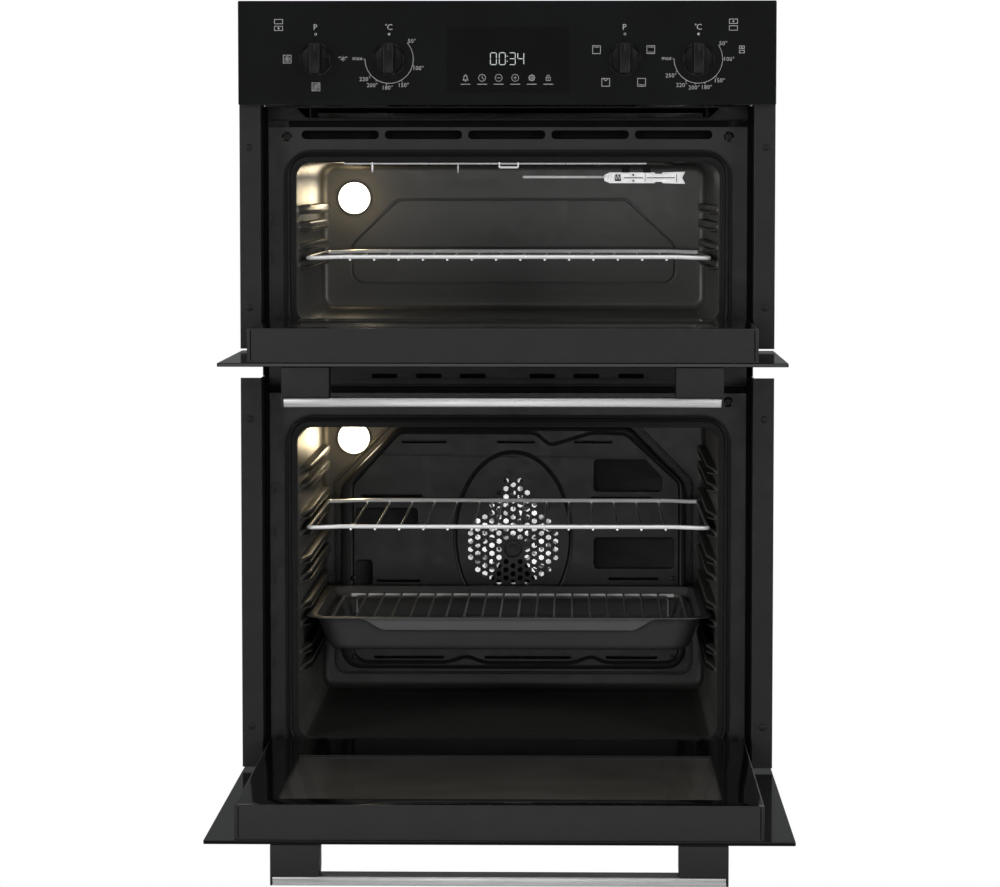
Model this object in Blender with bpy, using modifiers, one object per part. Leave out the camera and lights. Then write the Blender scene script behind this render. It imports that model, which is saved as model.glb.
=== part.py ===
"""Built-in double wall oven with both doors standing open, in metres, +Z up.

X runs to the right, Y runs into the oven from the front face of the control
panel, and Z rises from the underside of the casing.
"""

import math

import bmesh
import bpy
from mathutils import Matrix

# Driving dimensions of the front
WIDTH = 0.594
HALF_WIDTH = WIDTH / 2
HEIGHT = 0.888
PANEL_BOTTOM = 0.7735
GLASS = 0.004
GAP = 0.0003

# Casing that goes into the cabinet
CASE_HALF = 0.273
CASE_FRONT = 0.0478
CASE_BACK = 0.540
CASE_TOP = 0.872
SHEET = 0.0015

# Front frames and trims
FRAME_FRONT = 0.0460
FRAME_BACK = 0.0475
FRAME_HALF = 0.268
UPPER_FRAME = (0.4885, 0.7500)
LOWER_FRAME = (0.0120, 0.4525)
MID_STRIP = (0.4605, 0.4880)
OUTER_SLOT = (0.0846, 0.0093)
TRIM_FRONT = 0.0105
TRIM_INNER = 0.2733
UPPER_TRIM = (0.5035, 0.7730)
LOWER_TRIM = (0.0335, 0.4710)

# Cavities: lower and upper limits of each hollow, its side walls and back wall
CAVITY_HALF = 0.2365
CAVITY_CORNER = 0.018
CAVITY_BACK = 0.450
UPPER_CAVITY = (0.5310, 0.7115)
LOWER_CAVITY = (0.0605, 0.4145)
RAIL_INNER = 0.2215
SEAL_WIDTH = 0.0105
SEAL_FRONT = 0.0403

# Shelf levels, counted from the bottom of each cavity
UPPER_LEVELS = (0.6043, 0.6473)
LOWER_LEVELS = (0.1439, 0.1955, 0.2471, 0.2987, 0.3503)
SHELF_HALF = 0.2265
SHELF_FRONT = 0.074
SHELF_BACK = 0.412
SHELF_WIRE = 0.003

# Hinge pins: they lie behind the outer glass of each door
PIN_DEPTH = 0.008
UPPER_PIN = 0.505
LOWER_PIN = 0.034
PIN_RADIUS = 0.003
ARM_INNER = 0.2525
ARM_OUTER = 0.2570

# Doors, in the door's own frame: y from the pin towards the oven, z from the
# pin towards the handle
UPPER_DOOR_LENGTH = 0.2662
LOWER_DOOR_LENGTH = 0.4318
UPPER_DOOR_TAIL = 0.019
LOWER_DOOR_TAIL = 0.029
PAN_HALF = 0.266
PAN_DEPTH = 0.032
PAN_FOOT = -0.0125
PAN_VENT = ((-0.120, 0.004), (0.120, 0.022))
WINDOW_HALF = 0.225
HANDLE_HALF = 0.2275
BRACKET_SPAN = (0.178, 0.230)
BRACKET_STANDOFF = 0.030
BAR_THICKNESS = 0.0097
BAR_HEIGHT = 0.030

# Controls
KNOB_HEIGHT = 0.824
KNOB_RADIUS = 0.018
KNOBS = {
    "lower_function_knob": -0.211,
    "lower_temperature_knob": -0.130,
    "upper_function_knob": 0.130,
    "upper_temperature_knob": 0.211,
}

# Fan, lamps and elements
FAN_HEIGHT = 0.240
BAFFLE_FRONT = 0.419
BAFFLE_HALF = 0.212
BAFFLE_SPAN = (0.089, 0.388)
UPPER_LAMP = (-0.196, 0.669)
LOWER_LAMP = (-0.1975, 0.373)
ELEMENT_RADIUS = 0.0033
RING_RADIUS = 0.080

FINISHES = {
    "black_glass": ((0.010, 0.010, 0.011), 0.06, 0.0),
    "tinted_glass": ((0.020, 0.020, 0.020), 0.05, 0.0),
    "black_paint": ((0.018, 0.018, 0.019), 0.45, 0.0),
    "enamel": ((0.030, 0.030, 0.027), 0.30, 0.0),
    "zinc_sheet": ((0.55, 0.56, 0.57), 0.42, 1.0),
    "brushed_steel": ((0.60, 0.60, 0.60), 0.28, 1.0),
    "chrome_wire": ((0.75, 0.75, 0.75), 0.15, 1.0),
    "element_steel": ((0.24, 0.23, 0.22), 0.45, 1.0),
    "lamp_glass": ((1.00, 0.96, 0.86), 0.20, 0.0),
    "ceramic": ((0.80, 0.78, 0.74), 0.60, 0.0),
    "black_plastic": ((0.020, 0.020, 0.021), 0.38, 0.0),
    "seal_rubber": ((0.030, 0.030, 0.030), 0.70, 0.0),
    "mineral_wool": ((0.66, 0.62, 0.50), 0.95, 0.0),
}

FACING_FRONT = (math.pi / 2, 0.0, 0.0)
FACING_RIGHT = (math.pi / 2, 0.0, math.pi / 2)
FLAT = (0.0, 0.0, 0.0)


def clear_scene():
    """Remove every object that the scene already holds."""
    for item in list(bpy.data.objects):
        bpy.data.objects.remove(item, do_unlink=True)


def make_collection(name):
    """Add a collection to the scene."""
    collection = bpy.data.collections.new(name)
    bpy.context.scene.collection.children.link(collection)
    return collection


def finish_material(name, finish):
    """Make one Principled material for a node, from the table of finishes."""
    colour, roughness, metallic = FINISHES[finish]
    material = bpy.data.materials.new(name)
    material.use_nodes = True
    shader = material.node_tree.nodes["Principled BSDF"]
    shader.inputs["Base Color"].default_value = (*colour, 1.0)
    shader.inputs["Roughness"].default_value = roughness
    shader.inputs["Metallic"].default_value = metallic
    return material


def settle(item, name, finish):
    """Name an object and put it among the parts, or the cutters if it has no finish."""
    item.name = name
    item.data.name = name
    for collection in list(item.users_collection):
        collection.objects.unlink(item)
    if finish is None:
        CUTTERS.objects.link(item)
        item.hide_render = True
        item.display_type = "WIRE"
    else:
        PARTS.objects.link(item)
        item.data.materials.clear()
        item.data.materials.append(finish_material(name, finish))
    return item


def box(name, finish, low, high, bevel=0.0):
    """Add a box between two corners, with rounded edges where bevel is given."""
    centre = [(a + b) / 2 for a, b in zip(low, high)]
    size = [b - a for a, b in zip(low, high)]
    bpy.ops.mesh.primitive_cube_add(size=1.0, location=centre)
    item = bpy.context.object
    item.data.transform(Matrix.Diagonal((*size, 1.0)))
    if bevel:
        rounding = item.modifiers.new("rounded_edges", "BEVEL")
        rounding.width = bevel
        rounding.segments = 2
    return settle(item, name, finish)


def cylinder(name, finish, radius, start, end, sides=12):
    """Add a cylinder between two points that share two of their coordinates."""
    run = [b - a for a, b in zip(start, end)]
    length = sum(abs(step) for step in run)
    turn = FLAT
    if run[0]:
        turn = (0.0, math.pi / 2, 0.0)
    elif run[1]:
        turn = FACING_FRONT
    centre = [(a + b) / 2 for a, b in zip(start, end)]
    bpy.ops.mesh.primitive_cylinder_add(
        vertices=sides, radius=radius, depth=length, location=centre, rotation=turn)
    return settle(bpy.context.object, name, finish)


def curve_to_mesh(curve, name, finish, turn=FLAT, place=(0.0, 0.0, 0.0)):
    """Turn a curve into a mesh object with its caps welded."""
    guide = bpy.data.objects.new(name, curve)
    guide.rotation_euler = turn
    guide.location = place
    bpy.context.scene.collection.objects.link(guide)
    bpy.context.view_layer.update()
    evaluated = guide.evaluated_get(bpy.context.evaluated_depsgraph_get())
    mesh = bpy.data.meshes.new_from_object(evaluated)
    work = bmesh.new()
    work.from_mesh(mesh)
    bmesh.ops.remove_doubles(work, verts=work.verts, dist=1e-6)
    bmesh.ops.recalc_face_normals(work, faces=work.faces)
    work.to_mesh(mesh)
    work.free()
    item = bpy.data.objects.new(name, mesh)
    item.matrix_world = guide.matrix_world.copy()
    bpy.data.objects.remove(guide, do_unlink=True)
    return settle(item, name, finish)


def plate(name, finish, outlines, start, end, turn=FACING_FRONT):
    """Extrude flat outlines, the first one solid and the others holes in it.

    A plate that faces the front has its outlines in X and Z and runs in Y, one
    that faces right has them in Y and Z and runs in X, and a flat one has them
    in X and Y and runs in Z.
    """
    curve = bpy.data.curves.new(name, "CURVE")
    curve.dimensions = "2D"
    curve.fill_mode = "BOTH"
    curve.extrude = (end - start) / 2
    for outline in outlines:
        spline = curve.splines.new("POLY")
        spline.points.add(len(outline) - 1)
        spline.use_cyclic_u = True
        for point, (across, up) in zip(spline.points, outline):
            point.co = (across, up, 0.0, 1.0)
    middle = (start + end) / 2
    place = {FACING_FRONT: (0.0, middle, 0.0), FACING_RIGHT: (middle, 0.0, 0.0)}
    return curve_to_mesh(curve, name, finish, turn, place.get(turn, (0.0, 0.0, middle)))


def tube(name, finish, points, radius, closed=False, resolution=2):
    """Sweep a round wire along straight runs between points."""
    curve = bpy.data.curves.new(name, "CURVE")
    curve.dimensions = "3D"
    curve.bevel_depth = radius
    curve.bevel_resolution = resolution
    curve.use_fill_caps = True
    spline = curve.splines.new("POLY")
    spline.points.add(len(points) - 1)
    spline.use_cyclic_u = closed
    for point, place in zip(spline.points, points):
        point.co = (*place, 1.0)
    return curve_to_mesh(curve, name, finish)


def turned(name, finish, profile, place, turn, steps=24):
    """Turn a profile of (radius, height) points, listed top to bottom, about its axis."""
    mesh = bpy.data.meshes.new(name)
    work = bmesh.new()
    corners = [work.verts.new((radius, 0.0, height)) for radius, height in profile]
    for first, second in zip(corners, corners[1:]):
        work.edges.new((first, second))
    work.to_mesh(mesh)
    work.free()
    item = bpy.data.objects.new(name, mesh)
    item.location = place
    item.rotation_euler = turn
    screw = item.modifiers.new("turned", "SCREW")
    screw.steps = steps
    screw.render_steps = steps
    screw.use_merge_vertices = True
    screw.merge_threshold = 1e-5
    screw.use_smooth_shade = True
    return settle(item, name, finish)


def open_shell(name, finish, low, high, thickness, open_towards):
    """Add a box of sheet with one side left out."""
    item = box(name, finish, low, high)
    work = bmesh.new()
    work.from_mesh(item.data)
    gone = [face for face in work.faces if face.normal.dot(open_towards) > 0.9]
    bmesh.ops.delete(work, geom=gone, context="FACES")
    work.to_mesh(item.data)
    work.free()
    sheet = item.modifiers.new("sheet", "SOLIDIFY")
    sheet.thickness = thickness
    sheet.offset = -1.0
    sheet.use_even_offset = True
    return item


def gather(name, items):
    """Merge separate tools into one cutter object."""
    mesh = bpy.data.meshes.new(name)
    work = bmesh.new()
    for item in items:
        copy = item.data.copy()
        copy.transform(item.matrix_basis)
        work.from_mesh(copy)
        bpy.data.meshes.remove(copy)
        bpy.data.objects.remove(item, do_unlink=True)
    work.to_mesh(mesh)
    work.free()
    return settle(bpy.data.objects.new(name, mesh), name, None)


def combine(target, tool, operation):
    """Cut a tool from an object, or join it on."""
    step = target.modifiers.new(tool.name, "BOOLEAN")
    step.operation = operation
    step.solver = "EXACT"
    step.object = tool
    return target


def cut(target, tools):
    """Take tools away from an object in one step."""
    return combine(target, gather(target.name + "_cutter", tools), "DIFFERENCE")


def join(target, tools):
    """Join separate tools to an object in one step."""
    return combine(target, gather(target.name + "_addition", tools), "UNION")


def rectangle(half, low, high):
    """Outline of a rectangle centred across."""
    return [(-half, low), (half, low), (half, high), (-half, high)]


def rounded(half, low, high, radius, steps=5, middle=0.0):
    """Outline of a rectangle with round corners."""
    corners = (
        (half - radius, low + radius, -90),
        (half - radius, high - radius, 0),
        (radius - half, high - radius, 90),
        (radius - half, low + radius, 180),
    )
    outline = []
    for across, up, first in corners:
        for step in range(steps + 1):
            angle = math.radians(first + 90 * step / steps)
            outline.append((
                middle + across + radius * math.cos(angle),
                up + radius * math.sin(angle)))
    return outline


def slot(middle, height, length, width):
    """Outline of a long vent hole with round ends."""
    return rounded(length / 2, height - width / 2, height + width / 2, width / 2 * 0.98, 3, middle)


def make_casing():
    """Sheets that close the oven inside its cabinet."""
    inner = CASE_HALF - SHEET - GAP
    for name, side in (("left_side_panel", -1), ("right_side_panel", 1)):
        edges = sorted((side * CASE_HALF, side * (CASE_HALF - SHEET)))
        box(name, "zinc_sheet", (edges[0], CASE_FRONT, 0.0), (edges[1], CASE_BACK, CASE_TOP))
    box("base_plate", "zinc_sheet", (-inner, CASE_FRONT, 0.0), (inner, CASE_BACK, SHEET))
    box("top_cover", "zinc_sheet",
        (-inner, CASE_FRONT, CASE_TOP - SHEET), (inner, CASE_BACK, CASE_TOP))
    vents = [slot(middle, height, 0.055, 0.006)
             for height in (0.790, 0.810, 0.830) for middle in (-0.150, -0.075, 0.0)]
    back = [rectangle(CASE_HALF, 0.0, CASE_TOP)] + vents
    plate("back_cover", "zinc_sheet", back, CASE_BACK + GAP, CASE_BACK + GAP + SHEET)
    box_back = CASE_BACK + SHEET + 2 * GAP
    terminal = box("terminal_box", "black_plastic",
                   (0.120, box_back, 0.700), (0.200, box_back + 0.024, 0.765), bevel=0.002)
    gland = cylinder("gland", None, 0.007,
                     (0.160, box_back + 0.012, 0.690), (0.160, box_back + 0.012, 0.715))
    cut(terminal, [gland])


def hinge_slots(pin):
    """Outlines of the slots that the two hinge arms come through."""
    low, high = pin - 0.0065, pin + 0.0125
    return [[(side * 0.2505, low), (side * 0.2590, low), (side * 0.2590, high),
             (side * 0.2505, high)] for side in (-1, 1)]


def make_front_frames():
    """Painted sheets round the two cavity mouths and the vent strip between them."""
    vents = [slot(0.0917 * place, 0.7413, *OUTER_SLOT) for place in range(-2, 3)]
    upper_mouth = rounded(CAVITY_HALF + 0.001, UPPER_CAVITY[0] - 0.002, UPPER_CAVITY[1], 0.018)
    upper = [rectangle(FRAME_HALF, *UPPER_FRAME), upper_mouth] + vents + hinge_slots(UPPER_PIN)
    plate("upper_front_frame", "black_paint", upper, FRAME_FRONT, FRAME_BACK)
    lower_mouth = rounded(CAVITY_HALF + 0.001, LOWER_CAVITY[0] - 0.001, LOWER_CAVITY[1], 0.018)
    lower = [rectangle(FRAME_HALF, *LOWER_FRAME), lower_mouth] + hinge_slots(LOWER_PIN)
    plate("lower_front_frame", "black_paint", lower, FRAME_FRONT, FRAME_BACK)
    short_vents = [slot(side * middle, 0.4715, 0.029, 0.005)
                   for side in (-1, 1) for middle in (0.0390, 0.0885, 0.1385)]
    strip = [rectangle(FRAME_HALF, *MID_STRIP)] + short_vents
    plate("mid_vent_strip", "black_paint", strip, FRAME_FRONT, FRAME_BACK)


def make_trims():
    """Folded strips that cover the cabinet's front edges beside each cavity."""
    fold = TRIM_INNER + SHEET
    for level, (low, high) in (("upper", UPPER_TRIM), ("lower", LOWER_TRIM)):
        for name, side in (("left", -1), ("right", 1)):
            profile = [
                (TRIM_INNER, TRIM_FRONT), (HALF_WIDTH, TRIM_FRONT),
                (HALF_WIDTH, TRIM_FRONT + SHEET), (fold, TRIM_FRONT + SHEET),
                (fold, 0.0600), (TRIM_INNER, 0.0600)]
            outline = [(side * across, depth) for across, depth in profile]
            trim = plate(f"{level}_{name}_trim", "black_paint", [outline], low, high, FLAT)
            holes = [cylinder("hole", None, 0.0028, (side * 0.2865, 0.0, height),
                              (side * 0.2865, 0.03, height), sides=10)
                     for height in (low + 0.046, high - 0.046)]
            cut(trim, holes)


def make_air_duct():
    """Flat duct that blows cooling air out between the panel and the upper door."""
    inner = [(-0.2255, 0.7590), (0.2255, 0.7590), (0.2375, 0.7725), (-0.2375, 0.7725)]
    outer = [(-0.2270, 0.7575), (0.2270, 0.7575), (0.2397, 0.7740), (-0.2397, 0.7740)]
    plate("air_duct", "black_paint", [outer, inner], FRAME_FRONT, 0.345)


def rail_profile(levels, side):
    """Points up one side wall: two pressed ribs hold each shelf level between them."""
    points = []
    for level in levels:
        for inset, rise in ((0, -0.0155), (1, -0.0125), (1, -0.0033), (0, -0.0033),
                            (0, 0.0045), (1, 0.0045), (1, 0.0125), (0, 0.0155)):
            across = RAIL_INNER if inset else CAVITY_HALF
            points.append((side * across, level + rise))
    return points


def cavity_outline(low, high, levels):
    """Inner outline of a cavity: round corners, and ribs up both side walls."""
    corners = rounded(CAVITY_HALF, low, high, CAVITY_CORNER)
    quarter = len(corners) // 4
    right = rail_profile(levels, 1)
    left = rail_profile(levels, -1)[::-1]
    return corners[:quarter] + right + corners[quarter:3 * quarter] + left + corners[3 * quarter:]


def make_cavity(name, span, levels, lamp, holes):
    """Enamelled liner: a pressed wall, open at the front, with a back wall."""
    low, high = span
    outer = rounded(CAVITY_HALF + SHEET, low - SHEET, high + SHEET, CAVITY_CORNER + SHEET)
    wall = [outer, cavity_outline(low, high, levels)]
    liner = plate(name, "enamel", wall, CASE_FRONT, CAVITY_BACK + 0.0002)
    cover = rounded(CAVITY_HALF + SHEET / 2, low - SHEET / 2, high + SHEET / 2, CAVITY_CORNER)
    join(liner, [plate("back_wall", None, [cover], CAVITY_BACK, CAVITY_BACK + SHEET)])
    drills = [(lamp[0], lamp[1], 0.0175)] + holes
    cut(liner, [cylinder("drill", None, radius, (across, 0.440, up), (across, 0.460, up), 16)
                for across, up, radius in drills])


def make_seals():
    """Flat rubber rings on the frames, which the closed doors press against."""
    for name, (low, high) in (("upper", UPPER_CAVITY), ("lower", LOWER_CAVITY)):
        inner = rounded(CAVITY_HALF + 0.0015, low - 0.0020, high + 0.0005, CAVITY_CORNER)
        outer = rounded(CAVITY_HALF + 0.0015 + SEAL_WIDTH, low - 0.0020 - SEAL_WIDTH,
                        high + 0.0005 + SEAL_WIDTH, CAVITY_CORNER + SEAL_WIDTH)
        plate(f"{name}_door_seal", "seal_rubber", [outer, inner], SEAL_FRONT, FRAME_FRONT - GAP)


def make_lamp(level, across, up):
    """Screw-in lens in front of the back wall and its ceramic holder behind it."""
    front = CAVITY_BACK - GAP
    dome = [(0.0205 * math.sin(math.radians(angle)), 0.003 + 0.006 * math.cos(math.radians(angle)))
            for angle in range(0, 91, 18)]
    turned(f"{level}_lamp_lens", "lamp_glass", dome + [(0.0205, 0.0), (0.0, 0.0)],
           (across, front, up), FACING_FRONT)
    holder = [(0.0, 0.0), (0.0165, 0.0), (0.0165, -0.0023), (0.0220, -0.0023),
              (0.0220, -0.0060), (0.0165, -0.0080), (0.0150, -0.0400), (0.0, -0.0400)]
    turned(f"{level}_lamp_holder", "ceramic", holder, (across, CAVITY_BACK, up), FACING_FRONT)


def baffle_outline(inset):
    """Outline of the fan cover: cut-off corners above, round ones below."""
    half = BAFFLE_HALF - inset
    low, high = BAFFLE_SPAN[0] + inset, BAFFLE_SPAN[1] - inset
    cut_across, cut_down = 0.069, 0.071
    radius = 0.026 - inset
    points = []
    for middle, first in ((radius - half, 180), (half - radius, 270)):
        for step in range(5):
            angle = math.radians(first + 90 * step / 4)
            points.append((middle + radius * math.cos(angle), low + radius + radius * math.sin(angle)))
    points += [(half, high - cut_down), (half - cut_across, high)]
    points += [(cut_across - half, high), (-half, high - cut_down)]
    return points


def make_fan_baffle():
    """Dished cover of the fan chamber, with its air intake and outlet slots."""
    baffle = plate("fan_baffle", "enamel", [baffle_outline(0.0)], BAFFLE_FRONT, CAVITY_BACK - GAP)
    hollow = plate("hollow", None, [baffle_outline(0.0012)], BAFFLE_FRONT + 0.0012, 0.460)
    combine(baffle, hollow, "DIFFERENCE")
    intake = []
    for column in range(-3, 4):
        for row in range(-3, 4):
            across = column * 0.0150
            up = 0.2535 + row * 0.0174 + (column % 2) * 0.0087
            if math.hypot(across / 0.050, (up - 0.2535) / 0.060) < 1.0:
                intake.append(cylinder("intake", None, 0.0040, (across, 0.410, up),
                                       (across, 0.430, up), sides=6))
    for middle in (-0.109, 0.0, 0.109):
        intake.append(box("slot", None, (middle - 0.024, 0.410, 0.370), (middle + 0.024, 0.430, 0.374)))
    for middle in (-0.150, 0.150):
        for height in (0.105, 0.306):
            intake.append(box("slot", None, (middle - 0.035, 0.410, height - 0.002),
                              (middle + 0.035, 0.430, height + 0.002)))
    cut(baffle, intake)


def make_fan():
    """Radial impeller on the shaft of its motor, inside the ring element."""
    disc = [(0.0, 0.0180), (0.0090, 0.0180), (0.0100, 0.0050), (0.0600, 0.0018), (0.0600, 0.0),
            (0.0, 0.0)]
    place = (0.0, 0.4450, FAN_HEIGHT)
    impeller = turned("fan_impeller", "zinc_sheet", disc, place, FACING_FRONT)
    blades = []
    for count in range(12):
        blade = box("blade", None, (0.030, 0.4270, -0.0006), (0.0590, 0.4442, 0.0006))
        spin = Matrix.Rotation(math.radians(30 * count), 4, "Y")
        blade.matrix_basis = Matrix.Translation((0.0, 0.0, FAN_HEIGHT)) @ spin @ blade.matrix_basis
        blades.append(blade)
    join(impeller, blades)
    socket = cylinder("socket", None, 0.0040, (0.0, 0.4320, FAN_HEIGHT), (0.0, 0.4500, FAN_HEIGHT))
    combine(impeller, socket, "DIFFERENCE")
    motor = [(0.0, 0.0170), (0.0030, 0.0170), (0.0030, -0.0020), (0.0400, -0.0020),
             (0.0400, -0.0040), (0.0340, -0.0050), (0.0340, -0.0450), (0.0100, -0.0520), (0.0, -0.0520)]
    turned("fan_motor", "zinc_sheet", motor, (0.0, CAVITY_BACK, FAN_HEIGHT), FACING_FRONT, 12)


def make_ring_element():
    """Round heating element about the impeller, with its two ends through the back wall."""
    depth = 0.437
    first, last = 97, 443
    points = [(RING_RADIUS * math.cos(math.radians(angle)), depth,
               FAN_HEIGHT + RING_RADIUS * math.sin(math.radians(angle)))
              for angle in [first + (last - first) * step / 26 for step in range(27)]]
    start = (points[0][0], 0.475, points[0][2])
    end = (points[-1][0], 0.475, points[-1][2])
    tube("ring_element", "element_steel", [start] + points + [end], ELEMENT_RADIUS)
    return [(start[0], start[2], 0.0048), (end[0], end[2], 0.0048)]


def mirrored_path(half, height):
    """Points of a level element whose second half mirrors its first."""
    path = half + [(-across, depth) for across, depth in reversed(half)]
    return [(across, depth, height) for across, depth in path]


def make_flat_elements():
    """Grill element under the upper cavity's ceiling and the one below its floor."""
    grill = [(0.020, 0.475), (0.020, 0.405), (0.185, 0.405), (0.185, 0.095), (0.105, 0.095),
             (0.105, 0.345), (0.035, 0.345), (0.035, 0.095)]
    tube("grill_element", "element_steel", mirrored_path(grill, 0.7045), ELEMENT_RADIUS)
    base = [(0.020, 0.475), (0.020, 0.420), (0.190, 0.420), (0.190, 0.100)]
    tube("base_element", "element_steel", mirrored_path(base, 0.5230), 0.003)
    return [(-0.020, 0.7045, 0.0048), (0.020, 0.7045, 0.0048)]


def make_thermostat():
    """Temperature feeler of the upper cavity and the bracket that holds its end."""
    tube("thermostat_phial", "brushed_steel", [(0.0135, 0.260, 0.6945), (0.1097, 0.260, 0.6945)], 0.0015)
    bracket = box("phial_bracket", "zinc_sheet", (0.1100, 0.2585, 0.6870), (0.2050, 0.2615, 0.7003))
    tabs = [box("tab", None, (middle - 0.005, 0.2590, 0.6950), (middle + 0.005, 0.2610, 0.7112))
            for middle in (0.135, 0.160)]
    join(bracket, tabs)


def wire_frame(name, finish, corners, wire, bars, bar_radius, extras=()):
    """Closed wire frame with thin bars across it, welded into one piece."""
    frame = tube(name, finish, corners, wire, closed=True)
    rods = [tube("bar", None, run, bar_radius, resolution=1) for run in bars]
    return join(frame, rods + list(extras))


def make_wire_shelf(name, height):
    """Chromed shelf: a frame that slides on the ribs, and fourteen bars under it."""
    corner = 0.010
    half, front, back = SHELF_HALF, SHELF_FRONT, SHELF_BACK
    loop = [(-half + corner, front), (half - corner, front), (half, front + corner),
            (half, back - corner), (half - corner, back), (corner - half, back),
            (-half, back - corner), (-half, front + corner)]
    corners = [(across, depth, height) for across, depth in loop]
    under = height - 0.0037
    bars = [[(0.0275 * (count - 6.5), front - 0.001, under), (0.0275 * (count - 6.5), back + 0.001, under)]
            for count in range(14)]
    wire_frame(name, "chrome_wire", corners, SHELF_WIRE, bars, 0.0013)


def make_baking_tray():
    """Dished enamel tray whose flat rim slides on the ribs."""
    rim = LOWER_LEVELS[1] - SHELF_WIRE
    front, back = 0.070, 0.405
    lip, slope, depth = 0.0115, 0.0145, 0.0325
    item = box("baking_tray", "enamel", (-0.2315 + lip, front + lip, rim - depth),
               (0.2315 - lip, back - lip, rim))
    half_span = (0.2315 - lip, (back - front) / 2 - lip)
    work = bmesh.new()
    work.from_mesh(item.data)
    lid = [face for face in work.faces if face.normal.z > 0.9]
    bmesh.ops.delete(work, geom=lid, context="FACES")
    for corner in work.verts:
        if corner.co.z < 0:
            corner.co.x *= 1 - slope / half_span[0]
            corner.co.y *= 1 - slope / half_span[1]
    mouth = [edge for edge in work.edges if edge.is_boundary]
    new = bmesh.ops.extrude_edge_only(work, edges=mouth)["geom"]
    for corner in (part for part in new if isinstance(part, bmesh.types.BMVert)):
        corner.co.x += math.copysign(lip, corner.co.x)
        corner.co.y += math.copysign(lip, corner.co.y)
    bmesh.ops.recalc_face_normals(work, faces=work.faces)
    bottom = min(work.faces, key=lambda face: face.calc_center_median().z)
    if bottom.normal.z > 0:
        bmesh.ops.reverse_faces(work, faces=work.faces)
    work.to_mesh(item.data)
    work.free()
    sheet = item.modifiers.new("sheet", "SOLIDIFY")
    sheet.thickness = 0.0016
    sheet.offset = -1.0
    sheet.use_even_offset = True


def make_tray_grid():
    """Roasting grid that stands inside the tray on four feet."""
    height, front, back, half = 0.1850, 0.092, 0.384, 0.206
    corners = [(-half, front, height), (half, front, height), (half, back, height), (-half, back, height)]
    bars = [[(0.0208 * (count - 8.5), front - 0.001, height + 0.0030),
             (0.0208 * (count - 8.5), back + 0.001, height + 0.0030)] for count in range(18)]
    feet = [tube("foot", None, [(side * 0.190, depth, 0.1634), (side * 0.190, depth, height)], 0.002,
                 resolution=1)
            for side in (-1, 1) for depth in (front + 0.0150, back - 0.0150)]
    cross = [tube("cross", None, [(-half, depth, height), (half, depth, height)], 0.002, resolution=1)
             for depth in (front + 0.0150, back - 0.0150)]
    grid = wire_frame("tray_grid", "chrome_wire", corners, 0.0025, bars, 0.0013)
    for tool in cross + feet:
        combine(grid, tool, "UNION")


def make_hinge_pivot(name, pin):
    """Empty on the pin's axis, turned so that the door hangs open by a quarter turn."""
    pivot = bpy.data.objects.new(name, None)
    pivot.empty_display_size = 0.03
    pivot.location = (0.0, PIN_DEPTH, pin)
    pivot.rotation_euler = (math.pi / 2, 0.0, 0.0)
    PARTS.objects.link(pivot)
    return pivot


def make_door_pan(level, length, window):
    """Folded steel back of a door: its window, the air vent in its foot and the pins' eyes."""
    pan = open_shell(f"{level}_door_pan", "black_paint",
                     (-PAN_HALF, GAP - PIN_DEPTH + GLASS, PAN_FOOT),
                     (PAN_HALF, PAN_DEPTH, length - 0.002), SHEET, (0.0, -1.0, 0.0))
    opening = box(f"{level}_window", None, (-WINDOW_HALF, 0.020, window[0]),
                  (WINDOW_HALF, 0.040, window[1]))
    notches, eyes, bores = [], [], []
    for side in (-1, 1):
        spans = [sorted((side * a, side * b)) for a, b in
                 ((0.2503, 0.2583), (0.2588, PAN_HALF - SHEET / 2), (0.2570, 0.2642))]
        notches.append(box("notch", None, (spans[0][0], -0.0050, -0.020), (spans[0][1], 0.040, 0.0105)))
        eyes.append(box("eye", None, (spans[1][0], -0.0034, -0.0085), (spans[1][1], 0.0085, 0.0085)))
        bores.append(cylinder("bore", None, PIN_RADIUS + 0.0004, (spans[2][0], 0.0, 0.0),
                              (spans[2][1], 0.0, 0.0)))
    join(pan, eyes)
    vent_low, vent_high = PAN_VENT
    vent = box(f"{level}_vent", None, (*vent_low, PAN_FOOT - SHEET), (*vent_high, PAN_FOOT + 2 * SHEET))
    tools = [opening, gather(f"{level}_notches", notches), gather(f"{level}_bores", bores), vent]
    for tool in tools:
        combine(pan, tool, "DIFFERENCE")
    return [pan, bpy.data.objects[f"{level}_door_pan_addition"]] + tools


def make_door(level, pin, length, tail, window):
    """One drop-down door: two panes, the pan between them, and the handle."""
    pivot = make_hinge_pivot(f"{level}_door_hinge", pin)
    pieces = [box(f"{level}_door_glass", "black_glass", (-HALF_WIDTH, -PIN_DEPTH, -tail),
                  (HALF_WIDTH, GLASS - PIN_DEPTH, length))]
    pieces += make_door_pan(level, length, window)
    pane_back = PAN_DEPTH - SHEET - GAP
    pieces.append(box(f"{level}_inner_glass", "tinted_glass",
                      (-WINDOW_HALF - 0.007, pane_back - GLASS, window[0] - 0.007),
                      (WINDOW_HALF + 0.007, pane_back, window[1] + 0.007)))
    face = -PIN_DEPTH - GAP
    stand = -PIN_DEPTH - BRACKET_STANDOFF
    for name, side in (("left", -1), ("right", 1)):
        span = sorted(side * edge for edge in BRACKET_SPAN)
        pieces.append(box(f"{level}_handle_bracket_{name}", "black_plastic",
                          (span[0], stand, length - 0.032), (span[1], face, length - 0.0005), 0.001))
    pieces.append(box(f"{level}_handle_bar", "brushed_steel",
                      (-HANDLE_HALF, stand - GAP - BAR_THICKNESS, length - 0.0005 - BAR_HEIGHT),
                      (HANDLE_HALF, stand - GAP, length - 0.0005), 0.0012))
    for piece in pieces:
        piece.parent = pivot


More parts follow.
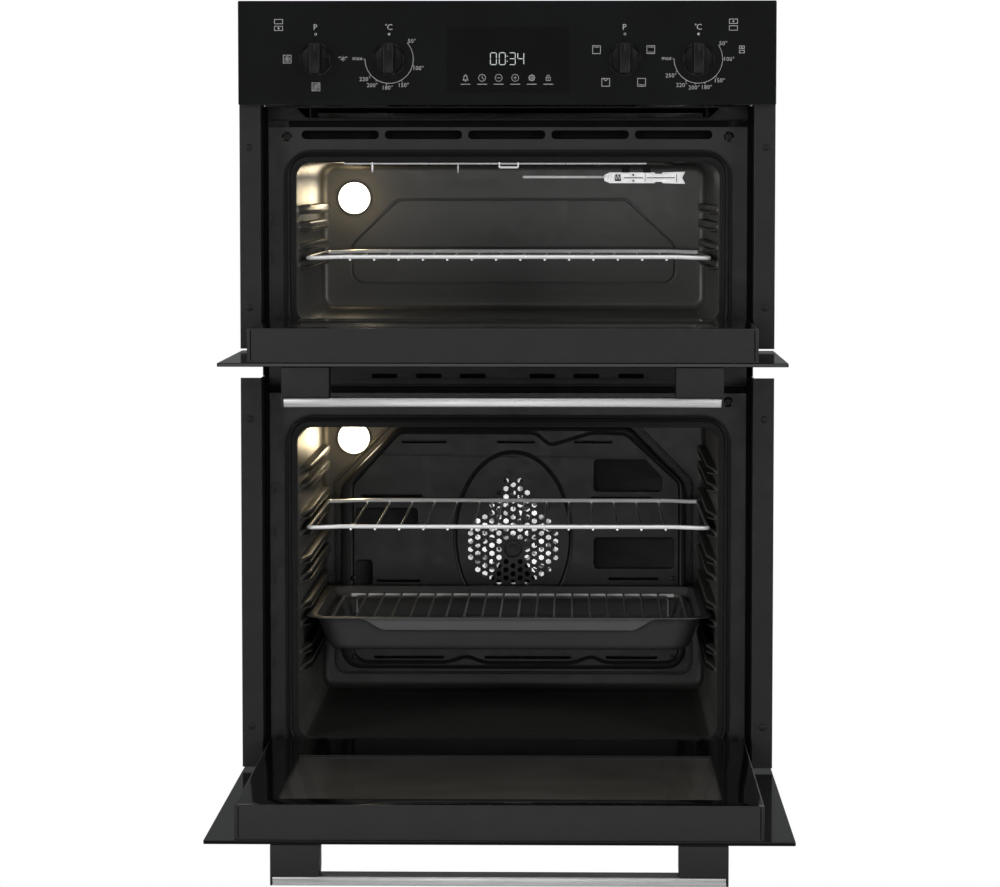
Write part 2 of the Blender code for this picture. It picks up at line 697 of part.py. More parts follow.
def make_hinge_arms(level, pin):
    """Arms fixed behind the front frame, each with the pin that carries its door."""
    eye = [(PIN_DEPTH + 0.0033 * math.cos(math.radians(angle)),
            pin + 0.0033 * math.sin(math.radians(angle))) for angle in range(90, 271, 30)]
    outline = eye + [(0.0570, pin - 0.0033), (0.0570, pin + 0.0090), (PIN_DEPTH + 0.012, pin + 0.0090)]
    for name, side in (("left", -1), ("right", 1)):
        span = sorted((side * ARM_INNER, side * ARM_OUTER))
        arm = plate(f"{level}_{name}_hinge_arm", "zinc_sheet", [outline], *span, FACING_RIGHT)
        pin_span = sorted((side * (ARM_OUTER - 0.001), side * 0.2638))
        foot_span = sorted((side * 0.2460, side * 0.2650))
        join(arm, [cylinder("pin", None, PIN_RADIUS, (pin_span[0], PIN_DEPTH, pin),
                            (pin_span[1], PIN_DEPTH, pin)),
                   box("foot", None, (foot_span[0], CASE_FRONT, pin - 0.010),
                       (foot_span[1], 0.0502, pin + 0.035))])


def make_control_panel():
    """Glass fascia, the moulding behind it and the timer's display module."""
    glass = box("control_panel_glass", "black_glass", (-HALF_WIDTH, 0.0, PANEL_BOTTOM),
                (HALF_WIDTH, GLASS, HEIGHT))
    chassis = open_shell("panel_chassis", "black_plastic",
                         (-HALF_WIDTH + 0.0035, GLASS + GAP, PANEL_BOTTOM + 0.003),
                         (HALF_WIDTH - 0.0035, FRAME_FRONT - 0.0005, HEIGHT - 0.003), 0.0018,
                         (0.0, 1.0, 0.0))
    for target in (glass, chassis):
        cut(target, [cylinder("spindle_hole", None, 0.0045, (across, -0.010, KNOB_HEIGHT),
                              (across, 0.020, KNOB_HEIGHT)) for across in KNOBS.values()])
    box("timer_module", "black_plastic", (-0.068, GLASS + 0.0025, 0.787), (0.068, 0.028, 0.860), 0.001)


def make_knobs():
    """Four rotary knobs, each turned in one piece with its spindle, plus a grip bar."""
    profile = [(0.0, 0.0100), (0.0165, 0.0100), (0.0176, 0.0085), (KNOB_RADIUS, 0.0006),
               (0.0030, 0.0006), (0.0030, -0.0115), (0.0, -0.0115)]
    for name, across in KNOBS.items():
        knob = turned(name, "black_plastic", profile, (across, 0.0, KNOB_HEIGHT), FACING_FRONT)
        grip = box(name + "_grip", None, (across - 0.0066, -0.0240, KNOB_HEIGHT - 0.0172),
                   (across + 0.0066, -0.0080, KNOB_HEIGHT + 0.0172), 0.0025)
        combine(knob, grip, "UNION")


def make_blower():
    """Crossflow blower that cools the controls and feeds the air duct."""
    open_shell("blower_housing", "zinc_sheet", (-0.150, 0.3453, 0.7575), (0.150, 0.4350, 0.8420), SHEET,
               (0.0, -1.0, 0.0))
    drum = [(0.0, 0.140), (0.0270, 0.140), (0.0270, -0.140), (0.0, -0.140)]
    turned("blower_rotor", "zinc_sheet", drum, (0.0, 0.395, 0.802), (0.0, math.pi / 2, 0.0))


def make_insulation():
    """One blanket of mineral wool wrapped round both cavities."""
    clear = 2 * SHEET + GAP
    half = CAVITY_HALF + clear
    upper = rectangle(half, 0.5160, UPPER_CAVITY[1] + clear)
    lower = rectangle(half, LOWER_CAVITY[0] - clear, LOWER_CAVITY[1] + clear)
    plate("insulation_wrap", "mineral_wool", [rectangle(0.262, 0.036, 0.738), upper, lower], 0.060, 0.448)


def main():
    """Build the whole oven."""
    make_casing()
    make_front_frames()
    make_trims()
    make_air_duct()
    grill_holes = make_flat_elements()
    ring_holes = make_ring_element()
    make_cavity("upper_cavity", UPPER_CAVITY, UPPER_LEVELS, UPPER_LAMP, grill_holes)
    shaft_hole = [(0.0, FAN_HEIGHT, 0.0060)]
    make_cavity("lower_cavity", LOWER_CAVITY, LOWER_LEVELS, LOWER_LAMP, ring_holes + shaft_hole)
    make_seals()
    make_lamp("upper", *UPPER_LAMP)
    make_lamp("lower", *LOWER_LAMP)
    make_fan_baffle()
    make_fan()
    make_thermostat()
    make_wire_shelf("upper_wire_shelf", UPPER_LEVELS[0])
    make_wire_shelf("lower_wire_shelf", LOWER_LEVELS[3])
    make_baking_tray()
    make_tray_grid()
    make_door("upper", UPPER_PIN, UPPER_DOOR_LENGTH, UPPER_DOOR_TAIL, (0.070, 0.222))
    make_door("lower", LOWER_PIN, LOWER_DOOR_LENGTH, LOWER_DOOR_TAIL, (0.116, 0.394))
    make_hinge_arms("upper", UPPER_PIN)
    make_hinge_arms("lower", LOWER_PIN)
    make_control_panel()
    make_knobs()
    make_blower()
    make_insulation()


clear_scene()
PARTS = make_collection("wall_oven")
CUTTERS = make_collection("cutters")
main()
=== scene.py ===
"""Finishes and fine shapes of the built-in double oven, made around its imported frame.

X runs to the right, Y into the oven from the front of the control panel, and Z up
from the casing's underside. All sizes are in metres.
"""

import logging
import math
from collections.abc import Callable, Iterable, Sequence
from dataclasses import dataclass, field
from enum import Enum
from typing import ClassVar

import bmesh
import bpy
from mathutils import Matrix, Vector


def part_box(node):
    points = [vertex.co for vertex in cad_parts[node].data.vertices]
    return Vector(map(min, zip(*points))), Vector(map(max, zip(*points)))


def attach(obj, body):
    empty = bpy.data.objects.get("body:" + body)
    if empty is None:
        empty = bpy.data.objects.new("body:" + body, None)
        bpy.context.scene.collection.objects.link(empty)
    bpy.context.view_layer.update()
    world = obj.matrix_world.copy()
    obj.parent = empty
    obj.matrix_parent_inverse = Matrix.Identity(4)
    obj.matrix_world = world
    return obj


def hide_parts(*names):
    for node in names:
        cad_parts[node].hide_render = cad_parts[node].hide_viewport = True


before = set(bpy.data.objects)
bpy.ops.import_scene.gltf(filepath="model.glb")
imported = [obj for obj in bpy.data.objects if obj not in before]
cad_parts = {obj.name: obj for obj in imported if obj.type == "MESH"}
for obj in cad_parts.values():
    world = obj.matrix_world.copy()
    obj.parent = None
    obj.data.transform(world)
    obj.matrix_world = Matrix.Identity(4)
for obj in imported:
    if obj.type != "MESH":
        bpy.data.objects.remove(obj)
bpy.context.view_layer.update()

Point = tuple[float, float, float]
Flat = tuple[float, float]
Outline = list[Flat]
Piece = bpy.types.Object
Socket = bpy.types.NodeSocket

log = logging.getLogger("oven")

SHEET = 0.0015
WELD = 1e-5
SOFT_ANGLE = math.radians(34)
WIDE_CUT = 0.05


class Facing(Enum):
    """Which way a flat outline stands, and so which axis it's extruded along."""

    FRONT = (math.pi / 2, 0.0, 0.0)
    SIDE = (math.pi / 2, 0.0, math.pi / 2)
    TOP = (0.0, 0.0, 0.0)


class Join(Enum):
    """What a boolean does with its tools."""

    ADD = "UNION"
    CUT = "DIFFERENCE"


class Level(Enum):
    """One of the two ovens, by the name that its pieces start with."""

    UPPER = "upper"
    LOWER = "lower"


class Texture(Enum):
    """The surface pattern of a finish."""

    PEEL = "orange peel of paint and enamel"
    BRUSHED = "lines brushed along the piece"
    MOULDED = "fine spark-eroded grain of moulded plastic"
    SPANGLE = "crystals of galvanised sheet"
    # Painted glints: random bright and dark cells that paint the glints of the fan wheel.
    BLADES = "glints of a turning blade wheel"
    OXIDE = "heat-stained sheath"
    GLOSS = "polished glass with faint wipe marks"
    WOOL = "matted fibres"


# --- Finishes -----------------------------------------------------------------


class Graph:
    """Short calls for the nodes that the finishes share."""

    def __init__(self, name: str) -> None:
        """Start a material with an empty Principled shader.

        Args:
            name: name of the material.
        """
        self.material = bpy.data.materials.new(name)
        self.material.use_nodes = True
        self.tree = self.material.node_tree
        self.shader = self.tree.nodes["Principled BSDF"]
        self.place = self.tree.nodes.new("ShaderNodeTexCoord").outputs["Object"]

    def link(self, source: Socket, target: Socket) -> None:
        """Join an output to an input."""
        self.tree.links.new(source, target)

    def mapped(self, scale: Point) -> Socket:
        """Stretch the piece's own coordinates.

        Args:
            scale: factor along each axis.

        Returns:
            The stretched coordinates.
        """
        node = self.tree.nodes.new("ShaderNodeMapping")
        node.inputs["Scale"].default_value = scale
        self.link(self.place, node.inputs["Vector"])
        return node.outputs["Vector"]

    def noise(self, scale: float, detail: float = 3.0, stretch: Point = (1.0, 1.0, 1.0)) -> Socket:
        """Add a noise pattern.

        Args:
            scale: cells in a metre.
            detail: octaves of finer noise.
            stretch: factor on the scale along each axis.

        Returns:
            The pattern's value, about 0.5 on average.
        """
        node = self.tree.nodes.new("ShaderNodeTexNoise")
        node.inputs["Scale"].default_value = scale
        node.inputs["Detail"].default_value = detail
        self.link(self.mapped(stretch), node.inputs["Vector"])
        return node.outputs["Fac"]

    def cells(self, scale: float) -> Socket:
        """Add a crystal pattern.

        Args:
            scale: cells in a metre.

        Returns:
            The random shade of each cell.
        """
        node = self.tree.nodes.new("ShaderNodeTexVoronoi")
        node.inputs["Scale"].default_value = scale
        self.link(self.place, node.inputs["Vector"])
        return node.outputs["Color"]

    def spread(self, value: Socket, low: float, high: float) -> Socket:
        """Stretch the middle of a pattern to a range of numbers.

        Args:
            value: the pattern.
            low: the range's start.
            high: the range's end.

        Returns:
            The stretched pattern.
        """
        node = self.tree.nodes.new("ShaderNodeMapRange")
        node.inputs["From Min"].default_value = 0.3
        node.inputs["From Max"].default_value = 0.7
        node.inputs["To Min"].default_value = low
        node.inputs["To Max"].default_value = high
        self.link(value, node.inputs["Value"])
        return node.outputs["Result"]

    def tint(self, value: Socket, dark: Point, light: Point) -> Socket:
        """Turn a pattern into a blend of two colours.

        Args:
            value: the pattern.
            dark: colour of its low places.
            light: colour of its high places.

        Returns:
            The colour.
        """
        node = self.tree.nodes.new("ShaderNodeValToRGB")
        node.color_ramp.elements[0].position = 0.30
        node.color_ramp.elements[0].color = (*dark, 1.0)
        node.color_ramp.elements[1].position = 0.70
        node.color_ramp.elements[1].color = (*light, 1.0)
        self.link(value, node.inputs["Fac"])
        return node.outputs["Color"]

    def relief(self, height: Socket, depth: float, strength: float = 1.0) -> None:
        """Let a pattern raise the surface.

        Args:
            height: the pattern.
            depth: its height in metres.
            strength: share of the relief that shows.
        """
        node = self.tree.nodes.new("ShaderNodeBump")
        node.inputs["Strength"].default_value = strength
        node.inputs["Distance"].default_value = depth
        self.link(height, node.inputs["Height"])
        self.link(node.outputs["Normal"], self.shader.inputs["Normal"])


@dataclass(frozen=True)
class Finish:
    """A surface finish: two shades, how rough they are, and the pattern between them.

    Attributes:
        name: the finish, in a maker's words.
        dark: colour in the pattern's low places.
        light: colour in its high places.
        rough: lowest and highest roughness.
        texture: the pattern.
        metallic: 1 for bare metal.
        coat: weight of a clear coat.
        glow: strength of the light that it gives off.
        specular: how strongly it mirrors at a right angle.
    """

    name: str
    dark: Point
    light: Point
    rough: Flat
    texture: Texture
    metallic: float = 0.0
    coat: float = 0.0
    glow: float = 0.0
    specular: float = 0.5

    def material(self) -> bpy.types.Material:
        """Give the finish's material, made at its first use.

        Returns:
            The material.
        """
        made = bpy.data.materials.get(self.name)
        if made is not None:
            return made
        graph = Graph(self.name)
        shader = graph.shader
        shader.inputs["Metallic"].default_value = self.metallic
        shader.inputs["Coat Weight"].default_value = self.coat
        shader.inputs["Coat Roughness"].default_value = 0.04
        shader.inputs["Specular IOR Level"].default_value = self.specular
        shade, roughness = self._pattern(graph)
        colour = graph.tint(shade, self.dark, self.light)
        graph.link(colour, shader.inputs["Base Color"])
        graph.link(graph.spread(roughness, *self.rough), shader.inputs["Roughness"])
        if self.glow:
            graph.link(colour, shader.inputs["Emission Color"])
            shader.inputs["Emission Strength"].default_value = self.glow
        return graph.material

    def _pattern(self, graph: Graph) -> tuple[Socket, Socket]:
        """Lay out the pattern and its relief.

        Args:
            graph: the material's nodes.

        Returns:
            The pattern of the shades and the pattern of the roughness.
        """
        if self.texture is Texture.BRUSHED:
            lines = graph.noise(1.0, 5.0, (6.0, 1400.0, 1400.0))
            graph.relief(lines, 0.00004, 0.6)
            return lines, graph.noise(1.0, 3.0, (14.0, 700.0, 700.0))
        if self.texture is Texture.MOULDED:
            graph.relief(graph.noise(2600.0, 2.0), 0.00006, 0.5)
            return graph.noise(35.0), graph.noise(180.0)
        if self.texture is Texture.SPANGLE:
            graph.relief(graph.noise(500.0, 2.0), 0.00005, 0.3)
            return graph.cells(95.0), graph.noise(60.0)
        # Painted glints: cells whose shades run from dark to bright, with no relief.
        if self.texture is Texture.BLADES:
            return graph.cells(165.0), graph.noise(60.0)
        if self.texture is Texture.OXIDE:
            graph.relief(graph.noise(900.0, 4.0), 0.00006, 0.5)
            return graph.noise(60.0, 5.0), graph.noise(220.0)
        if self.texture is Texture.GLOSS:
            return graph.noise(14.0), graph.noise(9.0, 4.0, (1.0, 1.0, 2.4))
        if self.texture is Texture.WOOL:
            graph.relief(graph.noise(260.0, 8.0, (1.0, 2.5, 1.0)), 0.002, 1.0)
            return graph.noise(90.0, 8.0, (1.0, 3.0, 1.0)), graph.noise(60.0)
        graph.relief(graph.noise(650.0, 2.0), 0.00008, 0.35)
        return graph.noise(24.0, 4.0), graph.noise(75.0)


def grey(value: float) -> Point:
    """Give a neutral colour."""
    return (value, value, value)


PANEL_GLASS = Finish("polished_black_glass", grey(0.0030), (0.0040, 0.0044, 0.0046), (0.03, 0.07),
    Texture.GLOSS)
WINDOW_GLASS = Finish("smoked_display_window", grey(0.0016), grey(0.0024), (0.02, 0.04), Texture.GLOSS)
DOOR_GLASS = Finish("door_black_glass", grey(0.0030), (0.0040, 0.0044, 0.0046), (0.04, 0.09), Texture.GLOSS,
    specular=0.13)
INNER_PANE = Finish("tinted_heat_glass", (0.040, 0.038, 0.033), (0.052, 0.049, 0.043), (0.06, 0.14),
    Texture.GLOSS)
PANE_BORDER = Finish("printed_glass_border", grey(0.0016), grey(0.0024), (0.05, 0.10), Texture.GLOSS,
    specular=0.09)
BLACK_PAINT = Finish("satin_black_paint", (0.0050, 0.0050, 0.0051), (0.0064, 0.0064, 0.0065), (0.42, 0.54),
    Texture.PEEL, specular=0.22)
FRAME_PAINT = Finish("cavity_frame_paint", (0.0050, 0.0050, 0.0051), (0.0064, 0.0064, 0.0065), (0.42, 0.54),
    Texture.PEEL, specular=0.29)
# Strip paint, also used as painted shade on the floors of the fan cover's recesses.
SHADE_PAINT = Finish("strip_paint_and_painted_shade", grey(0.0048), grey(0.0060), (0.46, 0.58), Texture.PEEL,
    specular=0.19)
# Near-black matt paint: the door's corner folds, and painted shade in the channels behind the vents, in the
# gaps between the front parts and under the fan's hub.
MATT_BLACK_AND_PAINTED_SHADE = Finish("matt_black_and_painted_shade", grey(0.0006), grey(0.0011), (0.60, 0.72), Texture.PEEL,
    specular=0.05)
DOOR_PAINT = Finish("door_frame_paint", grey(0.0054), grey(0.0064), (0.44, 0.56), Texture.PEEL,
    specular=0.24)
ENAMEL = Finish("grey_black_enamel", (0.0660, 0.0655, 0.0610), (0.0700, 0.0695, 0.0650), (0.34, 0.42),
    Texture.PEEL)
# Darker copy of the enamel for the lower oven: painted shade that offsets the stronger light reaching it.
LOWER_ENAMEL_PAINTED_DARK = Finish("black_enamel", (0.0300, 0.0298, 0.0278), (0.0330, 0.0328, 0.0306), (0.38, 0.46),
    Texture.PEEL, specular=0.35)
COVER_ENAMEL = Finish("fan_cover_enamel", (0.0125, 0.0124, 0.0115), (0.0145, 0.0144, 0.0133), (0.38, 0.46),
    Texture.PEEL, specular=0.28)
TRAY_ENAMEL = Finish("baking_tray_enamel", grey(0.0390), grey(0.0430), (0.38, 0.48), Texture.PEEL)
# Lighter tray enamel: on the pouring lip, and as painted light on the tray's upward faces and the inside of
# its back wall.
TRAY_LIP_AND_LIT_ENAMEL = Finish("tray_lip_and_painted_light_enamel", grey(0.0700), grey(0.0760), (0.36, 0.46), Texture.PEEL)
BRUSHED_STEEL = Finish("brushed_steel", grey(0.32), grey(0.44), (0.26, 0.42), Texture.BRUSHED, metallic=0.9)
# Chrome wire with a painted glow: its emission brightens the wires beyond what the lights give, and it is the
# painted highlight on the shelf's front and back wires and on the grid's back rim.
CHROME_PAINTED_LIGHT = Finish("chrome_with_painted_light", grey(0.90), grey(0.96), (0.18, 0.28), Texture.OXIDE, metallic=0.35,
    glow=0.07)
# Darker wire steel: the grid's own satin wire, and the painted shade on the middle of the shelf's bars and
# side wires.
WIRE_STEEL_AND_PAINTED_SHADE = Finish("satin_wire_steel_and_painted_shade", grey(0.20), grey(0.29), (0.26, 0.38), Texture.OXIDE, metallic=0.6)
# Sheet steel with a painted glow: its emission makes the screws, the grill's hangers, clip and rail, the
# feeler and its spring shine brighter than the lights make them.
STEEL_PAINTED_GLOW = Finish("sheet_steel_painted_glow", grey(0.90), grey(0.97), (0.25, 0.40), Texture.OXIDE,
    metallic=0.30, glow=0.14)
# Painted glints: the fan's steel gets random near-black and white cells and a strong glow, which paint the
# bright glints of the wheel and of the plate behind it.
FAN_STEEL_PAINTED_GLINTS = Finish("fan_steel_painted_glint_glow", grey(0.02), grey(1.0), (0.25, 0.40), Texture.BLADES, metallic=0.3,
    glow=0.70)
# Zinc-plated steel with a strong painted glow, which makes the feeler's bracket shine bright.
PLATED_STEEL_PAINTED_GLOW = Finish("zinc_plated_steel_painted_glow", grey(0.92), grey(0.98), (0.30, 0.42), Texture.OXIDE,
    metallic=0.15, glow=0.42)
GALVANISED = Finish("galvanised_sheet", (0.34, 0.35, 0.36), (0.52, 0.53, 0.54), (0.34, 0.50),
    Texture.SPANGLE, metallic=1.0)
SHEATH = Finish("heater_sheath", (0.045, 0.043, 0.040), (0.080, 0.076, 0.070), (0.38, 0.55), Texture.OXIDE,
    metallic=0.3)
SEAL_RUBBER = Finish("silicone_seal", grey(0.0014), grey(0.0022), (0.45, 0.58), Texture.MOULDED,
    specular=0.14)
BLACK_PLASTIC = Finish("black_moulding", grey(0.0040), grey(0.0058), (0.36, 0.48), Texture.MOULDED)
KNOB_PLASTIC = Finish("knob_moulding", grey(0.0022), grey(0.0030), (0.26, 0.36), Texture.MOULDED,
    specular=0.13)
BRACKET_PLASTIC = Finish("bracket_moulding", grey(0.0052), grey(0.0062), (0.44, 0.54), Texture.MOULDED,
    specular=0.22)
LAMP_GLASS = Finish("lit_lamp_glass", (1.0, 0.93, 0.76), (1.0, 0.97, 0.88), (0.15, 0.25), Texture.GLOSS,
    glow=5.5)
CERAMIC = Finish("lamp_ceramic", (0.62, 0.59, 0.54), (0.74, 0.71, 0.66), (0.55, 0.70), Texture.MOULDED)
WOOL = Finish("mineral_wool", (0.42, 0.37, 0.24), (0.66, 0.60, 0.44), (0.85, 0.95), Texture.WOOL)
WHITE_PRINT = Finish("white_print", grey(0.24), grey(0.32), (0.45, 0.60), Texture.MOULDED)
DIM_PRINT = Finish("grey_print", grey(0.012), grey(0.017), (0.30, 0.45), Texture.MOULDED)
CLOCK_LIGHT = Finish("clock_segments", (0.30, 0.33, 0.33), (0.36, 0.39, 0.39), (0.30, 0.40),
    Texture.MOULDED, glow=0.55)


# --- Workbench ----------------------------------------------------------------


def deselect() -> None:
    """Clear the selection, so that an operator acts on one piece alone."""
    bpy.ops.object.select_all(action="DESELECT")


def take(*pieces: Piece) -> None:
    """Select some pieces alone, and make the first one active.

    Args:
        pieces: the pieces.
    """
    deselect()
    for piece in pieces:
        piece.select_set(True)
    bpy.context.view_layer.objects.active = pieces[0]


def settle(piece: Piece) -> None:
    """Put a piece's place, turn and size into its mesh."""
    take(piece)
    bpy.ops.object.transform_apply(location=True, rotation=True, scale=True)


class Shaping:
    """Edit mode on one piece, with its parts picked by place, direction or normal."""

    def __init__(self, piece: Piece) -> None:
        """Keep the piece to shape."""
        self.piece = piece

    def __enter__(self) -> "Shaping":
        """Open edit mode with nothing selected.

        Returns:
            The shaping.
        """
        take(self.piece)
        bpy.ops.object.mode_set(mode="EDIT")
        bpy.ops.mesh.select_all(action="DESELECT")
        return self

    def __exit__(self, *_: object) -> None:
        """Go back to object mode."""
        bpy.ops.object.mode_set(mode="OBJECT")

    def faces(self, test: Callable[[Vector, Vector], bool]) -> None:
        """Select faces.

        Args:
            test: says which, by their centre and normal.
        """
        self._pick("FACE", lambda work: work.faces, lambda part: test(part.calc_center_median(),
            part.normal))

    def edges(self, test: Callable[[Vector, Vector], bool]) -> None:
        """Select edges.

        Args:
            test: says which, by their middle and direction.
        """
        self._pick("EDGE", lambda work: work.edges, lambda part: test(
            (part.verts[0].co + part.verts[1].co) / 2,
            (part.verts[1].co - part.verts[0].co).normalized()))

    def points(self, test: Callable[[Vector], bool]) -> None:
        """Select the points whose place passes a test."""
        self._pick("VERT", lambda work: work.verts, lambda part: test(part.co))

    def bevel(self, width: float, segments: int) -> None:
        """Round over the selected edges."""
        bpy.ops.mesh.bevel(offset=width, segments=segments, affect="EDGES")

    def drop(self) -> None:
        """Take the selected faces away."""
        bpy.ops.mesh.delete(type="FACE")

    def _pick(self, kind: str, parts: Callable, test: Callable) -> None:
        """Select some of a kind of mesh part.

        Args:
            kind: the select mode.
            parts: gives the sequence of parts of an edit mesh.
            test: says which of them to select.
        """
        bpy.ops.mesh.select_mode(type=kind)
        bpy.ops.mesh.select_all(action="DESELECT")
        work = bmesh.from_edit_mesh(self.piece.data)
        for part in parts(work):
            if test(part):
                part.select_set(True)
        work.select_flush_mode()
        bmesh.update_edit_mesh(self.piece.data)


def close_up(piece: Piece) -> None:
    """Weld a piece's seams and turn its faces outwards.

    Args:
        piece: the piece.
    """
    with Shaping(piece):
        bpy.ops.mesh.select_all(action="SELECT")
        bpy.ops.mesh.remove_doubles(threshold=WELD)
        bpy.ops.mesh.normals_make_consistent(inside=False)


def modify(piece: Piece, kind: str, **settings: object) -> Piece:
    """Add a modifier and apply it.

    Args:
        piece: the piece to change.
        kind: Blender's name for the modifier.
        settings: values of its properties.

    Returns:
        The piece.
    """
    take(piece)
    step = piece.modifiers.new(kind.lower(), kind)
    for name, value in settings.items():
        setattr(step, name, value)
    bpy.ops.object.modifier_apply(modifier=step.name)
    return piece


def block(name: str, low: Point, high: Point, rounding: float = 0.0, segments: int = 3) -> Piece:
    """Model a block between two corners, with its edges rounded over.

    Args:
        name: name of the piece.
        low: its lowest corner.
        high: its highest corner.
        rounding: radius of the edges.
        segments: steps round each edge.

    Returns:
        The new piece.
    """
    deselect()
    middle = [(a + b) / 2 for a, b in zip(low, high)]
    size = [abs(b - a) for a, b in zip(low, high)]
    bpy.ops.mesh.primitive_cube_add(size=1.0, location=middle, scale=size)
    piece = bpy.context.object
    piece.name = name
    settle(piece)
    if rounding:
        with Shaping(piece) as work:
            bpy.ops.mesh.select_all(action="SELECT")
            work.bevel(rounding, segments)
    return piece


def turned(name: str, profile: Sequence[Flat], place: Point, facing: Facing = Facing.FRONT,
        sides: int = 48) -> Piece:
    """Turn a piece up from a disc that is extruded and resized along its profile.

    Args:
        name: name of the piece.
        profile: radius and height of each ring, in order along the surface.
        place: where the profile's axis has height 0.
        facing: the way that height points; FRONT is towards the viewer.
        sides: flats round the piece.

    Returns:
        The new piece.
    """
    deselect()
    bpy.ops.mesh.primitive_circle_add(vertices=sides, radius=profile[0][0], fill_type="NGON")
    piece = bpy.context.object
    piece.name = name
    bpy.ops.transform.translate(value=(0.0, 0.0, profile[0][1]))
    settle(piece)
    with Shaping(piece):
        bpy.ops.mesh.select_all(action="SELECT")
        for before, after in zip(profile, profile[1:]):
            bpy.ops.mesh.extrude_region_move(TRANSFORM_OT_translate={"value": (0.0, 0.0,
                after[1] - before[1])})
            grow = after[0] / before[0]
            bpy.ops.transform.resize(value=(grow, grow, 1.0), center_override=(0.0, 0.0, after[1]))
    close_up(piece)
    piece.rotation_euler = facing.value
    piece.location = place
    settle(piece)
    return piece


def curve_piece(name: str, lines: Iterable[Sequence[Point]], closed: bool, **settings: object) -> Piece:
    """Draw straight-sided lines as one curve and make it a mesh.

    Args:
        name: name of the piece.
        lines: points of each line.
        closed: whether the lines run back to their start.
        settings: values of the curve's properties.

    Returns:
        The mesh, welded, with its faces outwards.
    """
    curve = bpy.data.curves.new(name, "CURVE")
    for key, value in settings.items():
        setattr(curve, key, value)
    for line in lines:
        spline = curve.splines.new("POLY")
        spline.points.add(len(line) - 1)
        spline.use_cyclic_u = closed
        for knot, place in zip(spline.points, line):
            knot.co = (*place, 1.0)
    piece = bpy.data.objects.new(name, curve)
    bpy.context.scene.collection.objects.link(piece)
    take(piece)
    bpy.ops.object.convert(target="MESH")
    piece = bpy.context.object
    close_up(piece)
    return piece


def plate(name: str, outlines: Iterable[Outline], start: float, end: float, facing: Facing = Facing.FRONT,
        rounding: float = 0.0) -> Piece:
    """Cut a plate from flat outlines, where an outline inside another is a hole.

    Args:
        name: name of the piece.
        outlines: points across and up, or across and deep for a plate that lies flat.
        start: where the plate starts, along the axis that it faces.
        end: where it ends.
        facing: the way that it stands.
        rounding: radius of its edges.

    Returns:
        The new piece.
    """
    lines = [[(across, up, 0.0) for across, up in outline] for outline in outlines]
    piece = curve_piece(name, lines, True, dimensions="2D", fill_mode="BOTH",
        extrude=(end - start) / 2 - rounding, bevel_depth=rounding, bevel_resolution=1, offset=-rounding)
    middle = (start + end) / 2
    piece.rotation_euler = facing.value
    piece.location = {Facing.FRONT: (0.0, middle, 0.0), Facing.SIDE: (middle, 0.0, 0.0),
        Facing.TOP: (0.0, 0.0, middle)}[facing]
    settle(piece)
    return piece


def wire(name: str, points: Sequence[Point], radius: float, closed: bool = False, smooth: int = 2) -> Piece:
    """Sweep a round wire along points.

    Args:
        name: name of the piece.
        points: the wire's middle line.
        radius: its radius.
        closed: whether it runs back to its start.
        smooth: how finely it's rounded.

    Returns:
        The new piece.
    """
    return curve_piece(name, [points], closed, dimensions="3D", bevel_depth=radius, bevel_resolution=smooth,
        use_fill_caps=True)


def bent(corners: Sequence[Point], radius: float, closed: bool = False, steps: int = 6) -> list[Point]:
    """Round the corners of a path, as a wire bender does.

    Args:
        corners: the path's corners.
        radius: how far from each corner the bend starts.
        closed: whether the path runs back to its start.
        steps: points in each bend.

    Returns:
        The points of the rounded path.
    """
    places = [Vector(corner) for corner in corners]
    count = len(places)
    path = []
    for index, place in enumerate(places):
        if not closed and index in (0, count - 1):
            path.append(tuple(place))
            continue
        before, after = places[index - 1], places[(index + 1) % count]
        reach = min(radius, (before - place).length / 2, (after - place).length / 2)
        start = place + (before - place).normalized() * reach
        end = place + (after - place).normalized() * reach
        for step in range(steps + 1):
            share = step / steps
            path.append(tuple(start.lerp(place, share).lerp(place.lerp(end, share), share)))
    return path


def merge(name: str, pieces: Sequence[Piece]) -> Piece:
    """Join pieces into one object.

    Args:
        name: name of the object.
        pieces: the pieces, which are used up.

    Returns:
        The object.
    """
    take(*pieces)
    if len(pieces) > 1:
        bpy.ops.object.join()
    merged = bpy.context.object
    merged.name = name
    return merged


def combine(piece: Piece, tools: Sequence[Piece], how: Join, crossing: bool = False) -> Piece:
    """Cut tools out of a piece, or weld them on.

    Args:
        piece: the piece to change.
        tools: the tools, which are used up.
        how: add or cut.
        crossing: whether the tools cross each other.

    Returns:
        The piece.
    """
    tool = merge("tool", tools)
    modify(piece, "BOOLEAN", operation=how.value, solver="EXACT", object=tool, use_self=crossing)
    bpy.data.objects.remove(tool, do_unlink=True)
    return piece


def twin(piece: Piece, name: str, shift: Point = (0.0, 0.0, 0.0), mirrored: bool = False) -> Piece:
    """Copy a piece with its own mesh, moved, or mirrored to the other side.

    Args:
        piece: the piece to copy.
        name: name of the copy.
        shift: how far it moves.
        mirrored: whether left and right change places.

    Returns:
        The copy.
    """
    take(piece)
    bpy.ops.object.duplicate()
    copy = bpy.context.object
    copy.name = name
    copy.location = shift
    if mirrored:
        copy.scale = (-1.0, 1.0, 1.0)
    settle(copy)
    if mirrored:
        close_up(copy)
    return copy


